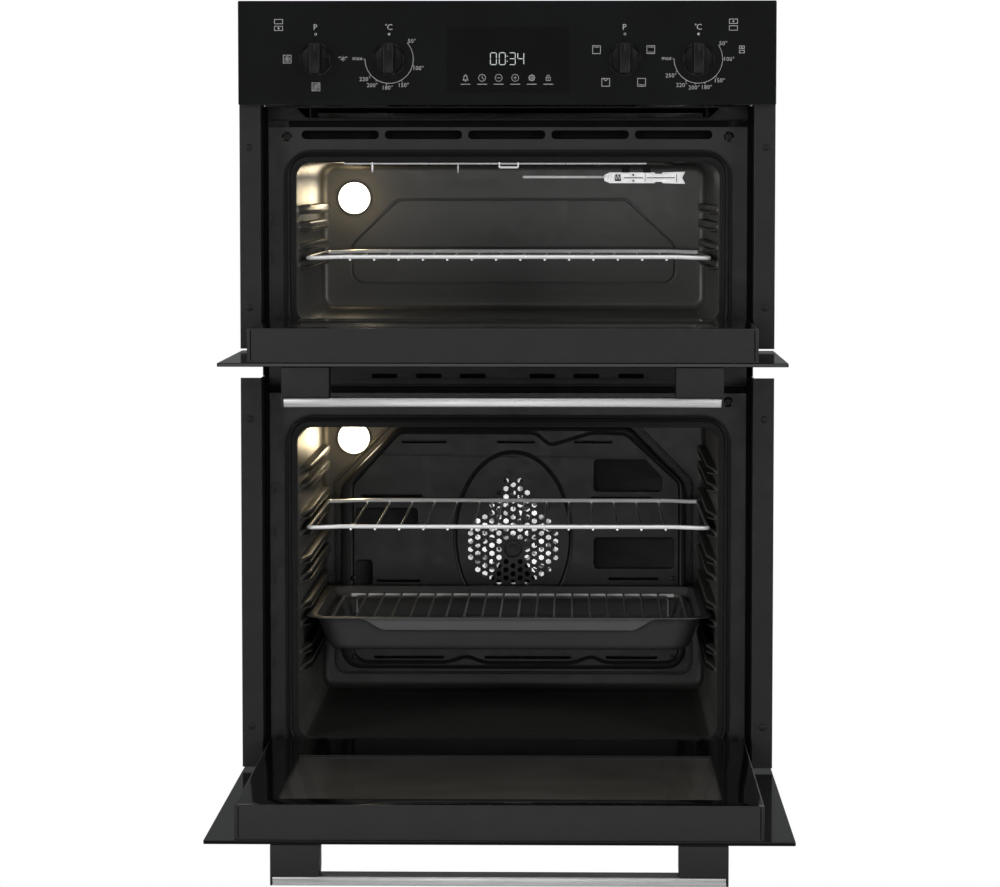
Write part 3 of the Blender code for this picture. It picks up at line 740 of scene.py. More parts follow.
def dress(piece: Piece, name: str, finish: Finish, body: str, replaced: Sequence[str] = (),
        soften: bool = True) -> Piece:
    """Name a finished piece, give it its finish and put it on its body.

    Args:
        piece: the finished piece.
        name: its name.
        finish: its finish.
        body: the body that it rides on.
        replaced: nodes that it stands for.
        soften: whether shallow angles are shaded smooth.

    Returns:
        The piece.
    """
    take(piece)
    if soften:
        bpy.ops.object.shade_smooth_by_angle(angle=SOFT_ANGLE)
    else:
        bpy.ops.object.shade_flat()
    piece.name = name
    piece.data.name = name
    piece.data.materials.clear()
    piece.data.materials.append(finish.material())
    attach(piece, body)
    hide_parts(*replaced)
    log.info("%s: %d faces on %s", name, len(piece.data.polygons), body)
    return piece


def second_finish(piece: Piece, finish: Finish, test: Callable[[Vector, Vector], bool]) -> None:
    """Give some of a dressed piece's faces another finish.

    Args:
        piece: the dressed piece.
        finish: the other finish.
        test: says which faces get it, by their centre and normal.
    """
    piece.data.materials.append(finish.material())
    with Shaping(piece) as work:
        work.faces(test)
        piece.active_material_index = len(piece.data.materials) - 1
        bpy.ops.object.material_slot_assign()


def dress_node(node: str, finish: Finish) -> None:
    """Give a frame node, kept as it is, its finish.

    Args:
        node: the node's name.
        finish: its finish.
    """
    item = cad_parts[node]
    item.data.materials.clear()
    item.data.materials.append(finish.material())
    log.info("%s keeps its frame shape", node)


def rectangle(left: float, low: float, right: float, high: float) -> Outline:
    """Outline of a rectangle."""
    return [(left, low), (right, low), (right, high), (left, high)]


def rounded(left: float, low: float, right: float, high: float, radius: float, steps: int = 7) -> Outline:
    """Outline of a rectangle with round corners."""
    return bent_outline(rectangle(left, low, right, high), radius, steps)


def bent_outline(corners: Outline, radius: float, steps: int = 5) -> Outline:
    """Outline whose corners are rounded with arcs.

    Args:
        corners: the sharp outline, listed anticlockwise.
        radius: radius of the corners.
        steps: steps round each corner.

    Returns:
        The rounded outline.
    """
    outline = []
    for index, corner in enumerate(corners):
        place = Vector(corner)
        ahead = (Vector(corners[(index + 1) % len(corners)]) - place).normalized()
        behind = (Vector(corners[index - 1]) - place).normalized()
        half = ahead.angle(behind) / 2
        reach = radius / math.tan(half)
        centre = place + (ahead + behind).normalized() * (radius / math.sin(half))
        start = place + behind * reach - centre
        turn = -ahead.cross(behind)
        sweep = math.copysign(math.pi - 2 * half, -turn) if turn else 0.0
        for step in range(steps + 1):
            angle = sweep * step / steps
            outline.append((centre.x + start.x * math.cos(angle) - start.y * math.sin(angle),
                centre.y + start.x * math.sin(angle) + start.y * math.cos(angle)))
    return outline


def disc(across: float, up: float, radius: float, sides: int = 24, tall: float = 1.0) -> Outline:
    """Outline of a circle, or of an ellipse that is taller than wide.

    Args:
        across: its middle across.
        up: its middle height.
        radius: its radius across.
        sides: its number of points.
        tall: its height over its width.

    Returns:
        The outline.
    """
    return [(across + radius * math.cos(math.tau * step / sides),
        up + radius * tall * math.sin(math.tau * step / sides)) for step in range(sides)]


def capsule(middle: float, height: float, length: float, width: float) -> Outline:
    """Outline of a long hole with round ends.

    Args:
        middle: its middle across.
        height: its middle height.
        length: its length.
        width: its width.

    Returns:
        The outline.
    """
    return rounded(middle - length / 2, height - width / 2, middle + length / 2, height + width / 2,
        width * 0.49)


def screw_head(name: str, place: Point, facing: Facing, radius: float = 0.0042) -> Piece:
    """Model one pan-head screw with a cross recess.

    Args:
        name: name of the piece.
        place: middle of the face that it sits on.
        facing: the way that it points.
        radius: radius of its head.

    Returns:
        The new piece.
    """
    flat, slit = radius * 0.30, radius * 0.16
    head = turned(name, [(radius, 0.0), (radius, radius * 0.28), (radius * 0.86, radius * 0.50),
        (radius * 0.55, radius * 0.62), (radius * 0.1, radius * 0.66)], (0.0, 0.0, 0.0), Facing.TOP, 20)
    cross = [block("slit", (-radius * 0.55, -slit, flat), (radius * 0.55, slit, radius)),
        block("slit", (-slit, -radius * 0.55, flat), (slit, radius * 0.55, radius))]
    combine(head, cross, Join.CUT, crossing=True)
    head.rotation_euler = facing.value
    head.location = place
    settle(head)
    return head


# --- Casing -------------------------------------------------------------------


@dataclass
class Casing:
    """The galvanised sheets that close the oven inside its cabinet, and what they hide."""

    margin: float = 0.030
    press_depth: float = 0.0009
    vent: Flat = (0.046, 0.006)
    screws: list[Piece] = field(default_factory=list)

    def build(self) -> None:
        """Model the sheets and dress the parts that stay inside them."""
        self._side()
        self._level_sheet("top_cover", 1.0)
        self._level_sheet("base_plate", -1.0)
        self._back()
        self._terminal_box()
        dress(merge("casing_screws", self.screws), "casing_screws", STEEL_PAINTED_GLOW, "chassis")
        dress_node("insulation_wrap", WOOL)
        dress_node("blower_housing", GALVANISED)
        dress_node("fan_motor", GALVANISED)
        for level in Level:
            dress_node(f"{level.value}_lamp_holder", CERAMIC)
            for side in ("left", "right"):
                dress_node(f"{level.value}_{side}_hinge_arm", GALVANISED)
        dress_node("base_element", SHEATH)
        self._rotor()

    def _press(self, sheet: Piece, cuts: Sequence[tuple[Point, Point]], outside: Callable[[Vector],
            bool]) -> None:
        """Press shallow fields into a sheet's outer face.

        Args:
            sheet: the flat sheet.
            cuts: point and normal of each plane between two fields.
            outside: says which normal is the outer face's.
        """
        with Shaping(sheet) as work:
            for place, normal in cuts:
                bpy.ops.mesh.select_all(action="SELECT")
                bpy.ops.mesh.bisect(plane_co=place, plane_no=normal)
            work.faces(lambda centre, normal: outside(normal))
            bpy.ops.mesh.inset(thickness=self.margin, use_individual=True)
            bpy.ops.mesh.inset(thickness=0.004, depth=-self.press_depth, use_individual=True)
            bpy.ops.mesh.inset(thickness=0.016, use_individual=True)
            bpy.ops.mesh.inset(thickness=0.003, depth=self.press_depth * 0.7, use_individual=True)

    def _side(self) -> None:
        """Model the right side sheet with its vents and screws, and mirror it."""
        low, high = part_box("right_side_panel")
        sheet = block("side", low, high, 0.0004, 2)
        middle = (low.y + high.y) / 2
        self._press(sheet, [((0.0, middle, 0.475), (0.0, 0.0, 1.0)), ((0.0, middle, 0.0), (0.0, 1.0, 0.0))],
            lambda normal: normal.x > 0.99)
        length, width = self.vent
        slits = [plate("vent", [capsule(depth, height, length, width)], low.x - WIDE_CUT / 5,
            high.x + WIDE_CUT / 5, Facing.SIDE) for depth in (low.y + 0.1115, high.y - 0.1215)
            for height in (0.800, 0.815, 0.830)]
        combine(sheet, slits, Join.CUT)
        left = twin(sheet, "left_sheet", mirrored=True)
        dress(sheet, "right_side_sheet", GALVANISED, "chassis", ["right_side_panel"], False)
        dress(left, "left_side_sheet", GALVANISED, "chassis", ["left_side_panel"], False)
        first = screw_head("screw", (high.x, low.y + 0.012, 0.050), Facing.SIDE)
        self.screws.append(first)
        for depth in (low.y + 0.012, high.y - 0.012):
            for height in (0.050, 0.310, 0.570, 0.830):
                shift = (0.0, depth - low.y - 0.012, height - 0.050)
                if any(shift):
                    self.screws.append(twin(first, "screw", shift))
        self.screws += [twin(screw, "screw", mirrored=True) for screw in list(self.screws)]

    def _level_sheet(self, node: str, up: float) -> None:
        """Model the top or the bottom sheet.

        Args:
            node: the frame node that it stands for.
            up: 1 if its outer face looks up, and -1 if it looks down.
        """
        low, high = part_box(node)
        sheet = block(node, low, high, 0.0004, 2)
        middle = (low.y + high.y) / 2
        self._press(sheet, [((0.0, middle, 0.0), (1.0, 0.0, 0.0))], lambda normal: normal.z * up > 0.99)
        row = low.y + 0.012 if up < 0 else high.y - 0.016
        slits = [plate("vent", [capsule(across, row, 0.040, 0.005)], low.z - 0.01, high.z + 0.01,
            Facing.TOP) for across in (-0.210, -0.140, -0.070, 0.070, 0.140, 0.210)]
        combine(sheet, slits, Join.CUT)
        dress(sheet, f"{node}_sheet", GALVANISED, "chassis", [node], False)

    def _back(self) -> None:
        """Model the back sheet: vents, pressed fields and the dome over the fan motor."""
        low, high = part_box("back_cover")
        slots = [capsule(across, height, 0.055, 0.006) for height in (0.790, 0.810, 0.830)
            for across in (-0.150, -0.075, 0.0)]
        sheet = plate("back", [rectangle(low.x, low.z, high.x, high.z)] + slots, low.y, high.y,
            rounding=0.0004)
        rib = SHEET * 0.9
        fields = [plate("field", [rounded(-0.235, bottom, 0.235, top, 0.020), rounded(-0.229,
            bottom + 0.006, 0.229, top - 0.006, 0.015)], high.y - 0.0004, high.y + rib, rounding=0.0006)
            for bottom, top in ((0.035, 0.440), (0.475, 0.680))]
        dome = turned("dome", [(0.075, -0.0004), (0.074, 0.0016), (0.060, 0.0040), (0.030, 0.0046),
            (0.001, 0.0048)], (0.0, 0.0, 0.0), Facing.TOP, 64)
        dome.rotation_euler = (-math.pi / 2, 0.0, 0.0)
        dome.location = (0.0, high.y, 0.240)
        settle(dome)
        combine(sheet, fields + [dome], Join.ADD)
        dress(sheet, "back_sheet", GALVANISED, "chassis", ["back_cover"])
        first = screw_head("screw", (0.0, 0.0, 0.0), Facing.TOP)
        first.rotation_euler = (-math.pi / 2, 0.0, 0.0)
        first.location = (-0.262, high.y, 0.025)
        settle(first)
        self.screws.append(first)
        for across in (0.0, 0.262, 0.524):
            for height in (0.0, 0.206, 0.412, 0.618, 0.822):
                if across == 0.262 and 0.0 < height < 0.8:
                    continue
                if across or height:
                    self.screws.append(twin(first, "screw", (across, 0.0, height)))

    def _terminal_box(self) -> None:
        """Model the box of the mains terminals with its lid, ribs and cable gland."""
        low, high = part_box("terminal_box")
        body = block("terminals", low, high, 0.003, 3)
        inset = 0.0045
        lid = block("lid", (low.x + inset, high.y - 0.001, low.z + inset), (high.x - inset, high.y + 0.0014,
            high.z - inset), 0.0008, 2)
        middle = (low.x + high.x) / 2
        depth = (low.y + high.y) / 2
        collar = turned("collar", [(0.0105, 0.0), (0.0105, -0.006), (0.0092, -0.0075), (0.0092, -0.010)],
            (middle, depth, low.z + 0.001), Facing.TOP, 32)
        ribs = [block("rib", (low.x - 0.0008, low.y + 0.003, height), (high.x + 0.0008, high.y - 0.003,
            height + 0.002), 0.0004, 1) for height in (0.718, 0.728, 0.738, 0.748)]
        combine(body, ribs + [lid, collar], Join.ADD, crossing=True)
        bore = turned("bore", [(0.0068, -0.012), (0.0068, 0.014)], (middle, depth, low.z), Facing.TOP, 32)
        combine(body, [bore], Join.CUT)
        dress(body, "terminal_cover", BLACK_PLASTIC, "chassis", ["terminal_box"])

    def _rotor(self) -> None:
        """Model the blower's drum of thin vanes between end discs."""
        low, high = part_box("blower_rotor")
        depth, up = (low.y + high.y) / 2, (low.z + high.z) / 2
        radius = (high.z - low.z) / 2
        vane = block("vane", (low.x, depth - 0.0006, up + radius - 0.007), (high.x, depth + 0.0006,
            up + radius - 0.0002), 0.0004, 1)
        parts = [vane]
        for count in range(1, 24):
            angle = math.tau * count / 24
            copy = twin(vane, "vane")
            copy.location = (0.0, depth - depth * math.cos(angle) + up * math.sin(angle),
                up - up * math.cos(angle) - depth * math.sin(angle))
            copy.rotation_euler = (angle, 0.0, 0.0)
            settle(copy)
            parts.append(copy)
        for across in (low.x, -0.001, high.x - 0.002):
            rim = [(radius, 0.0), (radius, 0.002)]
            parts.append(turned("end", rim, (across, depth, up), Facing.SIDE, 40))
        dress(merge("rotor", parts), "blower_drum", GALVANISED, "blower",
            ["blower_rotor"])


# --- Front --------------------------------------------------------------------


@dataclass
class FrontFrames:
    """Painted sheets round the two mouths, with vents, screws and shelf numbers."""

    mouth_corner: float = 0.018
    long_vent: Flat = (0.0866, 0.0093)
    long_pitch: float = 0.0931
    long_height: float = 0.7413
    short_vent: Flat = (0.029, 0.005)
    number_size: float = 0.0135
    number_left: float = -0.2640

    def build(self) -> None:
        """Model both frames, the strip between them and their fittings."""
        vents = [capsule(self.long_pitch * place - 0.0010, self.long_height, *self.long_vent)
            for place in range(-2, 3)]
        self._frame(Level.UPPER, vents, (0.2375, 0.5290, 0.7115))
        self._frame(Level.LOWER, [], (0.2375, 0.0595, 0.4145))
        self._strip()
        self._fittings()
        self._numbers()

    def _frame(self, level: Level, vents: list[Outline], mouth: Point) -> None:
        """Model one frame: a sheet with a shallow raised margin round its mouth.

        Args:
            level: which oven it belongs to.
            vents: outlines of its vents.
            mouth: half width, lower and upper edge of the mouth.
        """
        node = f"{level.value}_front_frame"
        low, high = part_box(node)
        half, bottom, top = mouth
        pin = 0.505 if level is Level.UPPER else 0.034
        hinges = [rectangle(left, pin - 0.0065, left + 0.0085, pin + 0.0125) for left in (-0.2590, 0.2505)]
        hole = rounded(-half, bottom, half, top, self.mouth_corner)
        wells = [disc(side * 0.2472, 0.7390 if vents else 0.4425, 0.0056, 24) for side in (-1, 1)]
        sheet = plate(node, [rectangle(low.x, low.z, high.x, high.z), hole] + vents + hinges + wells, low.y,
            high.y, rounding=0.0004)
        lip = plate("lip", [rounded(-half - 0.0138, bottom - 0.0138, half + 0.0138, top + 0.0138, 0.031),
            rounded(-half - 0.0130, bottom - 0.0130, half + 0.0130, top + 0.0130, 0.030)], low.y - 0.0003,
            low.y + 0.0002, rounding=0.0002)
        sheet = merge(node, [sheet, lip])
        dress(sheet, f"{level.value}_frame_sheet", FRAME_PAINT, "chassis", [node],
            False)

    def _strip(self) -> None:
        """Model the strip with six short vents and its folded lower edge."""
        low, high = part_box("mid_vent_strip")
        vents = [capsule(side * middle, 0.4715, *self.short_vent) for side in (-1, 1)
            for middle in (0.0390, 0.0885, 0.1385)]
        sheet = plate("strip", [rectangle(low.x, low.z, high.x, high.z)] + vents, low.y, high.y,
            rounding=0.0004)
        fold = block("fold", (low.x, low.y - 0.0040, low.z), (high.x, low.y + 0.0005, low.z + 0.0012),
            0.0004, 2)
        dress(merge("strip", [sheet, fold]), "vent_strip_sheet", SHADE_PAINT, "chassis",
            ["mid_vent_strip"])
        # Painted shade: the channels behind the vents and the thin sheets and strips behind the gaps between
        # the front parts are near-black matt, standing in for the shade in them.
        shade_troughs = [self._trough(0.2340, 0.7345, 0.7485), self._trough(0.1600, 0.4640, 0.4790)]
        shade_troughs += [block("shade_gap_sheet", (-half, 0.0480, bottom), (half, 0.0488, top), 0.0002, 1) for half,
            bottom, top in ((0.2670, 0.4430, 0.4645), (0.2670, 0.4800, 0.4945), (0.2450, 0.7470, 0.7572))]
        for side in (-1, 1):
            for outer, bottom, top in ((0.2731, 0.0335, 0.7725), (0.2752, 0.4713, 0.5032)):
                shade_troughs.append(block("shade_gap_strip", (min(side * 0.2682, side * outer), 0.0466, bottom),
                    (max(side * 0.2682, side * outer), 0.0474, top), 0.0002, 1))
        dress(merge("shade_troughs", shade_troughs), "vent_troughs", MATT_BLACK_AND_PAINTED_SHADE, "chassis")

    def _trough(self, half: float, bottom: float, top: float) -> Piece:
        """Fold the shallow channel behind a row of vents.

        Args:
            half: its half width.
            bottom: its lower edge.
            top: its upper edge.

        Returns:
            The channel.
        """
        trough = block("trough", (-half, 0.0476, bottom), (half, 0.0590, top))
        with Shaping(trough) as work:
            work.faces(lambda centre, normal: normal.y < -0.9)
            work.drop()
            work.edges(lambda middle, run: middle.y > 0.0589)
            work.bevel(0.002, 3)
        return modify(trough, "SOLIDIFY", thickness=0.0008, offset=-1.0)

    def _fittings(self) -> None:
        """Model the four screws that hold the frames, and the hinges' two small ones."""
        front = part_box("upper_front_frame")[0].y
        first = screw_head("screw", (-0.2472, front + 0.0012, 0.7390), Facing.FRONT, 0.0043)
        screws = [first]
        screws += [twin(first, "screw", shift) for shift in ((0.4944, 0.0, 0.0), (0.0, 0.0, -0.2965),
            (0.4944, 0.0, -0.2965))]
        screws += [screw_head("screw", (side * 0.2440, front, 0.0560), Facing.FRONT, 0.0020)
            for side in (-1, 1)]
        dress(merge("screws", screws), "frame_screws", SHADE_PAINT, "chassis")

    def _numbers(self) -> None:
        """Press the shelf numbers into the frames' left margins."""
        ink = Lettering()
        for heights in ((0.6050, 0.6470), (0.1476, 0.1930, 0.2440, 0.2950, 0.3450)):
            for count, height in enumerate(heights, 1):
                ink.text(str(count), self.number_left, height, self.number_size)
        dress(ink.stand(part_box("upper_front_frame")[0].y, 0.0003), "shelf_numbers", SHADE_PAINT, "chassis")


class Lettering:
    """Flat marks: figures and strokes drawn in X and Z, then stood up on a front face."""

    def __init__(self) -> None:
        """Start with no marks."""
        self.marks: list[Piece] = []

    def _keep(self, mark: Piece) -> None:
        """Put a mark in the scene and remember it."""
        bpy.context.scene.collection.objects.link(mark)
        self.marks.append(mark)

    def text(self, words: str, across: float, up: float, size: float) -> None:
        """Set a figure or word about a point.

        Args:
            words: what it says.
            across: its middle across.
            up: its middle height.
            size: height of a capital.
        """
        data = bpy.data.curves.new("figures", "FONT")
        data.body = words
        data.size = size / 0.73
        data.align_x = "CENTER"
        data.resolution_u = 2
        data.space_character = 1.04
        mark = bpy.data.objects.new("figures", data)
        mark.location = (across, up - size / 2, 0.0)
        self._keep(mark)

    def shape(self, *outlines: Outline) -> None:
        """Draw one filled shape.

        Args:
            outlines: its outlines, of which the inner ones are holes.
        """
        data = bpy.data.curves.new("mark", "CURVE")
        data.dimensions = "2D"
        data.fill_mode = "BOTH"
        for outline in outlines:
            spline = data.splines.new("POLY")
            spline.points.add(len(outline) - 1)
            spline.use_cyclic_u = True
            for knot, place in zip(spline.points, outline):
                knot.co = (*place, 0.0, 1.0)
        self._keep(bpy.data.objects.new("mark", data))

    def stroke(self, start: Flat, end: Flat, width: float) -> None:
        """Draw one straight stroke.

        Args:
            start: middle of its first end.
            end: middle of its other end.
            width: its width.
        """
        run = Vector((end[0] - start[0], end[1] - start[1])).normalized()
        aside = Vector((-run.y, run.x)) * width / 2
        first, last = Vector(start), Vector(end)
        corners = [first - aside, last - aside, last + aside, first + aside]
        self.shape([tuple(corner) for corner in corners])

    def frame(self, across: float, up: float, half: Flat, width: float) -> None:
        """Draw the outline of a rectangle about a point.

        Args:
            across: its middle across.
            up: its middle height.
            half: its half width and half height.
            width: width of the stroke, inside the rectangle.
        """
        wide, tall = half
        self.shape(rectangle(across - wide, up - tall, across + wide, up + tall),
            rectangle(across - wide + width, up - tall + width, across + wide - width, up + tall - width))

    def arc(self, across: float, up: float, radius: float, width: float, start: float = 0,
            end: float = 359) -> None:
        """Draw an arc, or a ring with a hairline gap.

        Args:
            across: its centre across.
            up: its centre's height.
            radius: its radius.
            width: width of the stroke.
            start: where it starts, in degrees clockwise from the top.
            end: where it ends.
        """
        steps = max(8, int((end - start) / 6))
        angles = [math.radians(start + (end - start) * step / steps) for step in range(steps + 1)]
        outer, inner = [[(across + reach * math.sin(angle), up + reach * math.cos(angle))
            for angle in angles] for reach in (radius + width / 2, radius - width / 2)]
        self.shape(outer + inner[::-1])

    def stand(self, front: float, thickness: float) -> Piece:
        """Give the marks a thickness, join them and stand them on a front face.

        Args:
            front: Y of the face that they sit on.
            thickness: how far they rise.

        Returns:
            One piece.
        """
        for mark in self.marks:
            mark.data.extrude = thickness / 2
        take(*self.marks)
        bpy.ops.object.convert(target="MESH")
        piece = merge("marks", list(bpy.context.selected_objects))
        settle(piece)
        close_up(piece)
        piece.rotation_euler = Facing.FRONT.value
        piece.location = (0.0, front - thickness / 2, 0.0)
        settle(piece)
        return piece


@dataclass
class AirOutlet:
    """The outlet under the control panel that blows the cooling air out."""

    mouth_low: float = 0.7602
    mouth_high: float = 0.7712
    half_low: float = 0.2255
    half_high: float = 0.2372
    apron: Flat = (0.7570, 0.7728)

    def build(self) -> None:
        """Model the duct, its apron with the ledge, and the fins in its mouth."""
        low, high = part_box("air_duct")
        inner = [(-self.half_low, self.mouth_low), (self.half_low, self.mouth_low),
            (self.half_high, self.mouth_high), (-self.half_high, self.mouth_high)]
        outer = [(-self.half_low - SHEET, self.mouth_low - SHEET), (self.half_low + SHEET,
            self.mouth_low - SHEET), (self.half_high + SHEET, self.mouth_high + SHEET),
            (-self.half_high - SHEET, self.mouth_high + SHEET)]
        duct = plate("duct", [outer, inner], low.y + 0.0010, high.y)
        face = plate("apron", [rectangle(-0.268, self.apron[0], 0.268, self.apron[1]),
            bent_outline(inner, 0.0012)], low.y, low.y + 0.0012, rounding=0.0003)
        ledge = block("ledge", (-0.268, low.y - 0.0034, self.apron[0]), (0.268, low.y + 0.0006,
            self.apron[0] + 0.0012), 0.0005, 3)
        lip = wire("lip", bent([(-0.2470, low.y, 0.7716), (-self.half_high, low.y, 0.7716),
            (-self.half_low, low.y, self.mouth_low - 0.0004), (self.half_low, low.y,
            self.mouth_low - 0.0004), (self.half_high, low.y, 0.7716), (0.2470, low.y, 0.7716)], 0.004),
            0.0006)
        fins = [block("fin", (across - 0.0006, low.y + 0.003, self.mouth_low - 0.0005),
            (across + 0.0006, low.y + 0.120, self.mouth_high + 0.0005), 0.0002, 1)
            for across in (-0.2210, 0.2225)]
        body = merge("outlet", [duct, face, ledge, lip] + fins)
        dress(body, "air_outlet", SHADE_PAINT, "chassis", ["air_duct"])


@dataclass
class Trims:
    """Folded strips that cover the cabinet's edges beside each cavity."""

    hole_inset: float = 0.046
    hole_across: float = 0.2865
    hole_radius: float = 0.0028
    tuck: float = 0.0022

    def build(self) -> None:
        """Model each right trim and mirror it."""
        for level in Level:
            node = f"{level.value}_right_trim"
            low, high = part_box(node)
            fold = low.x + SHEET
            corner = 0.0012
            profile = [(low.x, low.y + corner), (low.x + corner * 0.3, low.y + corner * 0.3),
                (low.x + corner, low.y), (high.x - corner * 0.4, low.y), (high.x, low.y + 0.0005),
                (high.x, low.y + SHEET), (fold, low.y + SHEET), (fold, high.y), (low.x, high.y)]
            reach = self.tuck if level is Level.UPPER else 0.0
            strip = plate(node, [profile], low.z, high.z + reach, Facing.TOP)
            tools = [turned("hole", [(self.hole_radius, -0.02), (self.hole_radius, 0.0005),
                (self.hole_radius * 1.45, 0.0016), (self.hole_radius * 1.45, 0.01)],
                (self.hole_across, low.y + 0.0010, height), Facing.FRONT, 28)
                for height in (low.z + self.hole_inset, high.z - self.hole_inset)]
            combine(strip, tools, Join.CUT)
            left = twin(strip, "left", mirrored=True)
            fixings = [screw_head("fixing", (side * self.hole_across, low.y + 0.0011, height), Facing.FRONT,
                0.0040) for side in (-1, 1)
                for height in (low.z + self.hole_inset, high.z - self.hole_inset)]
            dress(merge("fixings", fixings), f"{level.value}_cabinet_screws", BLACK_PAINT, "chassis")
            dress(strip, f"{level.value}_right_cover_strip", BLACK_PAINT, "chassis", [node],
                False)
            dress(left, f"{level.value}_left_cover_strip", BLACK_PAINT, "chassis",
                [f"{level.value}_left_trim"], False)


@dataclass
class ControlPanel:
    """The glass fascia with its print, clock and touch marks, and the moulding behind it."""

    window: tuple[float, float, float, float] = (-0.0670, 0.7870, 0.0690, 0.8590)
    print_rise: float = 0.00008
    knob_height: float = 0.824
    line: float = 0.00062
    dial_radius: float = 0.0267
    ink: Lettering = field(default_factory=Lettering)

    def build(self) -> None:
        """Model the panel and everything printed on it."""
        self._glass()
        self._moulding()
        dress_node("timer_module", BLACK_PLASTIC)
        self._dials()
        self._functions()
        self._ovens()
        self._touch_marks()
        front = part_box("control_panel_glass")[0].y
        dress(self.ink.stand(front, self.print_rise), "panel_print", WHITE_PRINT, "chassis",
            soften=False)
        self._clock(front)

    def _glass(self) -> None:
        """Model the glass with ground edges and four spindle holes, and the smoked window."""
        low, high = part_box("control_panel_glass")
        pane = plate("pane", [rounded(low.x, low.z, high.x, high.z, 0.0016)], low.y, high.y, rounding=0.0003)
        combine(pane, self._shaft_holes(low.y), Join.CUT)
        dress(pane, "panel_pane", PANEL_GLASS, "chassis", ["control_panel_glass"], False)
        left, bottom, right, top = self.window
        window = plate("window", [rounded(left, bottom, right, top, 0.0010)], low.y - 0.00005, low.y + 0.0001)
        dress(window, "display_window", WINDOW_GLASS, "chassis", soften=False)

    def _shaft_holes(self, front: float) -> list[Piece]:
        """Model the drills for the four knobs' shafts.

        Args:
            front: Y of the face that they go through.

        Returns:
            The drills.
        """
        return [turned("hole", [(0.0045, -0.03), (0.0045, 0.03)], (across, front, self.knob_height),
            Facing.FRONT, 24) for across in Knobs.places.values()]

    def _moulding(self) -> None:
        """Model the moulding behind the glass: an open tray with stiffening ribs."""
        low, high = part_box("panel_chassis")
        tray = block("tray", low, high)
        with Shaping(tray) as work:
            work.faces(lambda centre, normal: normal.y > 0.9)
            work.drop()
            work.edges(lambda middle, run: abs(run.y) > 0.9)
            work.bevel(0.003, 4)
        modify(tray, "SOLIDIFY", thickness=0.0018, offset=-1.0, use_even_offset=True)
        combine(tray, self._shaft_holes(low.y), Join.CUT)
        ribs = [block("rib", (across - 0.0007, low.y + 0.0015, low.z + 0.001), (across + 0.0007,
            high.y - 0.004, high.z - 0.001), 0.0002, 1) for across in (-0.255, -0.170, -0.086, 0.086, 0.170,
            0.255)]
        ribs.append(block("rib", (low.x + 0.001, low.y + 0.0015, 0.8655), (high.x - 0.001, high.y - 0.006,
            0.8669), 0.0002, 1))
        dress(merge("moulding", [tray] + ribs), "panel_moulding", BLACK_PLASTIC, "chassis",
            ["panel_chassis"])

    def _dials(self) -> None:
        """Print the two temperature scales, each with the letters and dot above its knob."""
        left = [(105, "100°", 0.0320, -0.0098), (150, "150°", 0.0158, -0.0285), (186, "180°", -0.0020,
            -0.0312), (211, "200°", -0.0186, -0.0285), (229, "220°", -0.0268, -0.0218)]
        right = [(90, "100°", 0.0336, 0.0), (135, "150°", 0.0234, -0.0234), (165, "180°", 0.0092, -0.0308),
            (187, "200°", -0.0046, -0.0312), (209, "220°", -0.0182, -0.0285), (240, "250°", -0.0300,
            -0.0180)]
        for knob, start, first, scale in (("lower_temperature_knob", 49, (0.0252, 0.0200), left),
                ("upper_temperature_knob", 56, (0.0274, 0.0172), right)):
            centre, up = Knobs.places[knob], self.knob_height
            self.ink.arc(centre, up, self.dial_radius, self.line, start, 270)
            rows = [(start, "50°", *first), (270, "max", -0.0350, 0.0012)] + scale
            for angle, words, across, rise in rows:
                self.ink.text(words, centre + across, up + rise, 0.0047)
                if start < angle < 270:
                    self._tick(centre, angle, 0.0018)
            for angle in (start, 270):
                self._tick(centre, angle, 0.0016)
            self.ink.text("C", centre + 0.0008, 0.8593, 0.0066)
            self.ink.arc(centre - 0.0032, 0.8616, 0.0007, 0.0005)
            self.ink.shape(disc(centre, 0.8513, 0.0014))
        for knob in ("lower_function_knob", "upper_function_knob"):
            centre = Knobs.places[knob]
            self.ink.text("P", centre - 0.0006, 0.8593, 0.0066)
            self.ink.arc(centre, 0.8513, 0.0011, 0.0006)

    def _tick(self, centre: float, angle: float, length: float) -> None:
        """Print one short line outwards from a scale.

        Args:
            centre: the knob's place across.
            angle: where the line stands, in degrees clockwise from the top.
            length: how long it is.
        """
        turn, base = math.radians(angle), self.dial_radius + 0.0003
        start, end = [(centre + reach * math.sin(turn), self.knob_height + reach * math.cos(turn))
            for reach in (base, base + length)]
        self.ink.stroke(start, end, self.line)

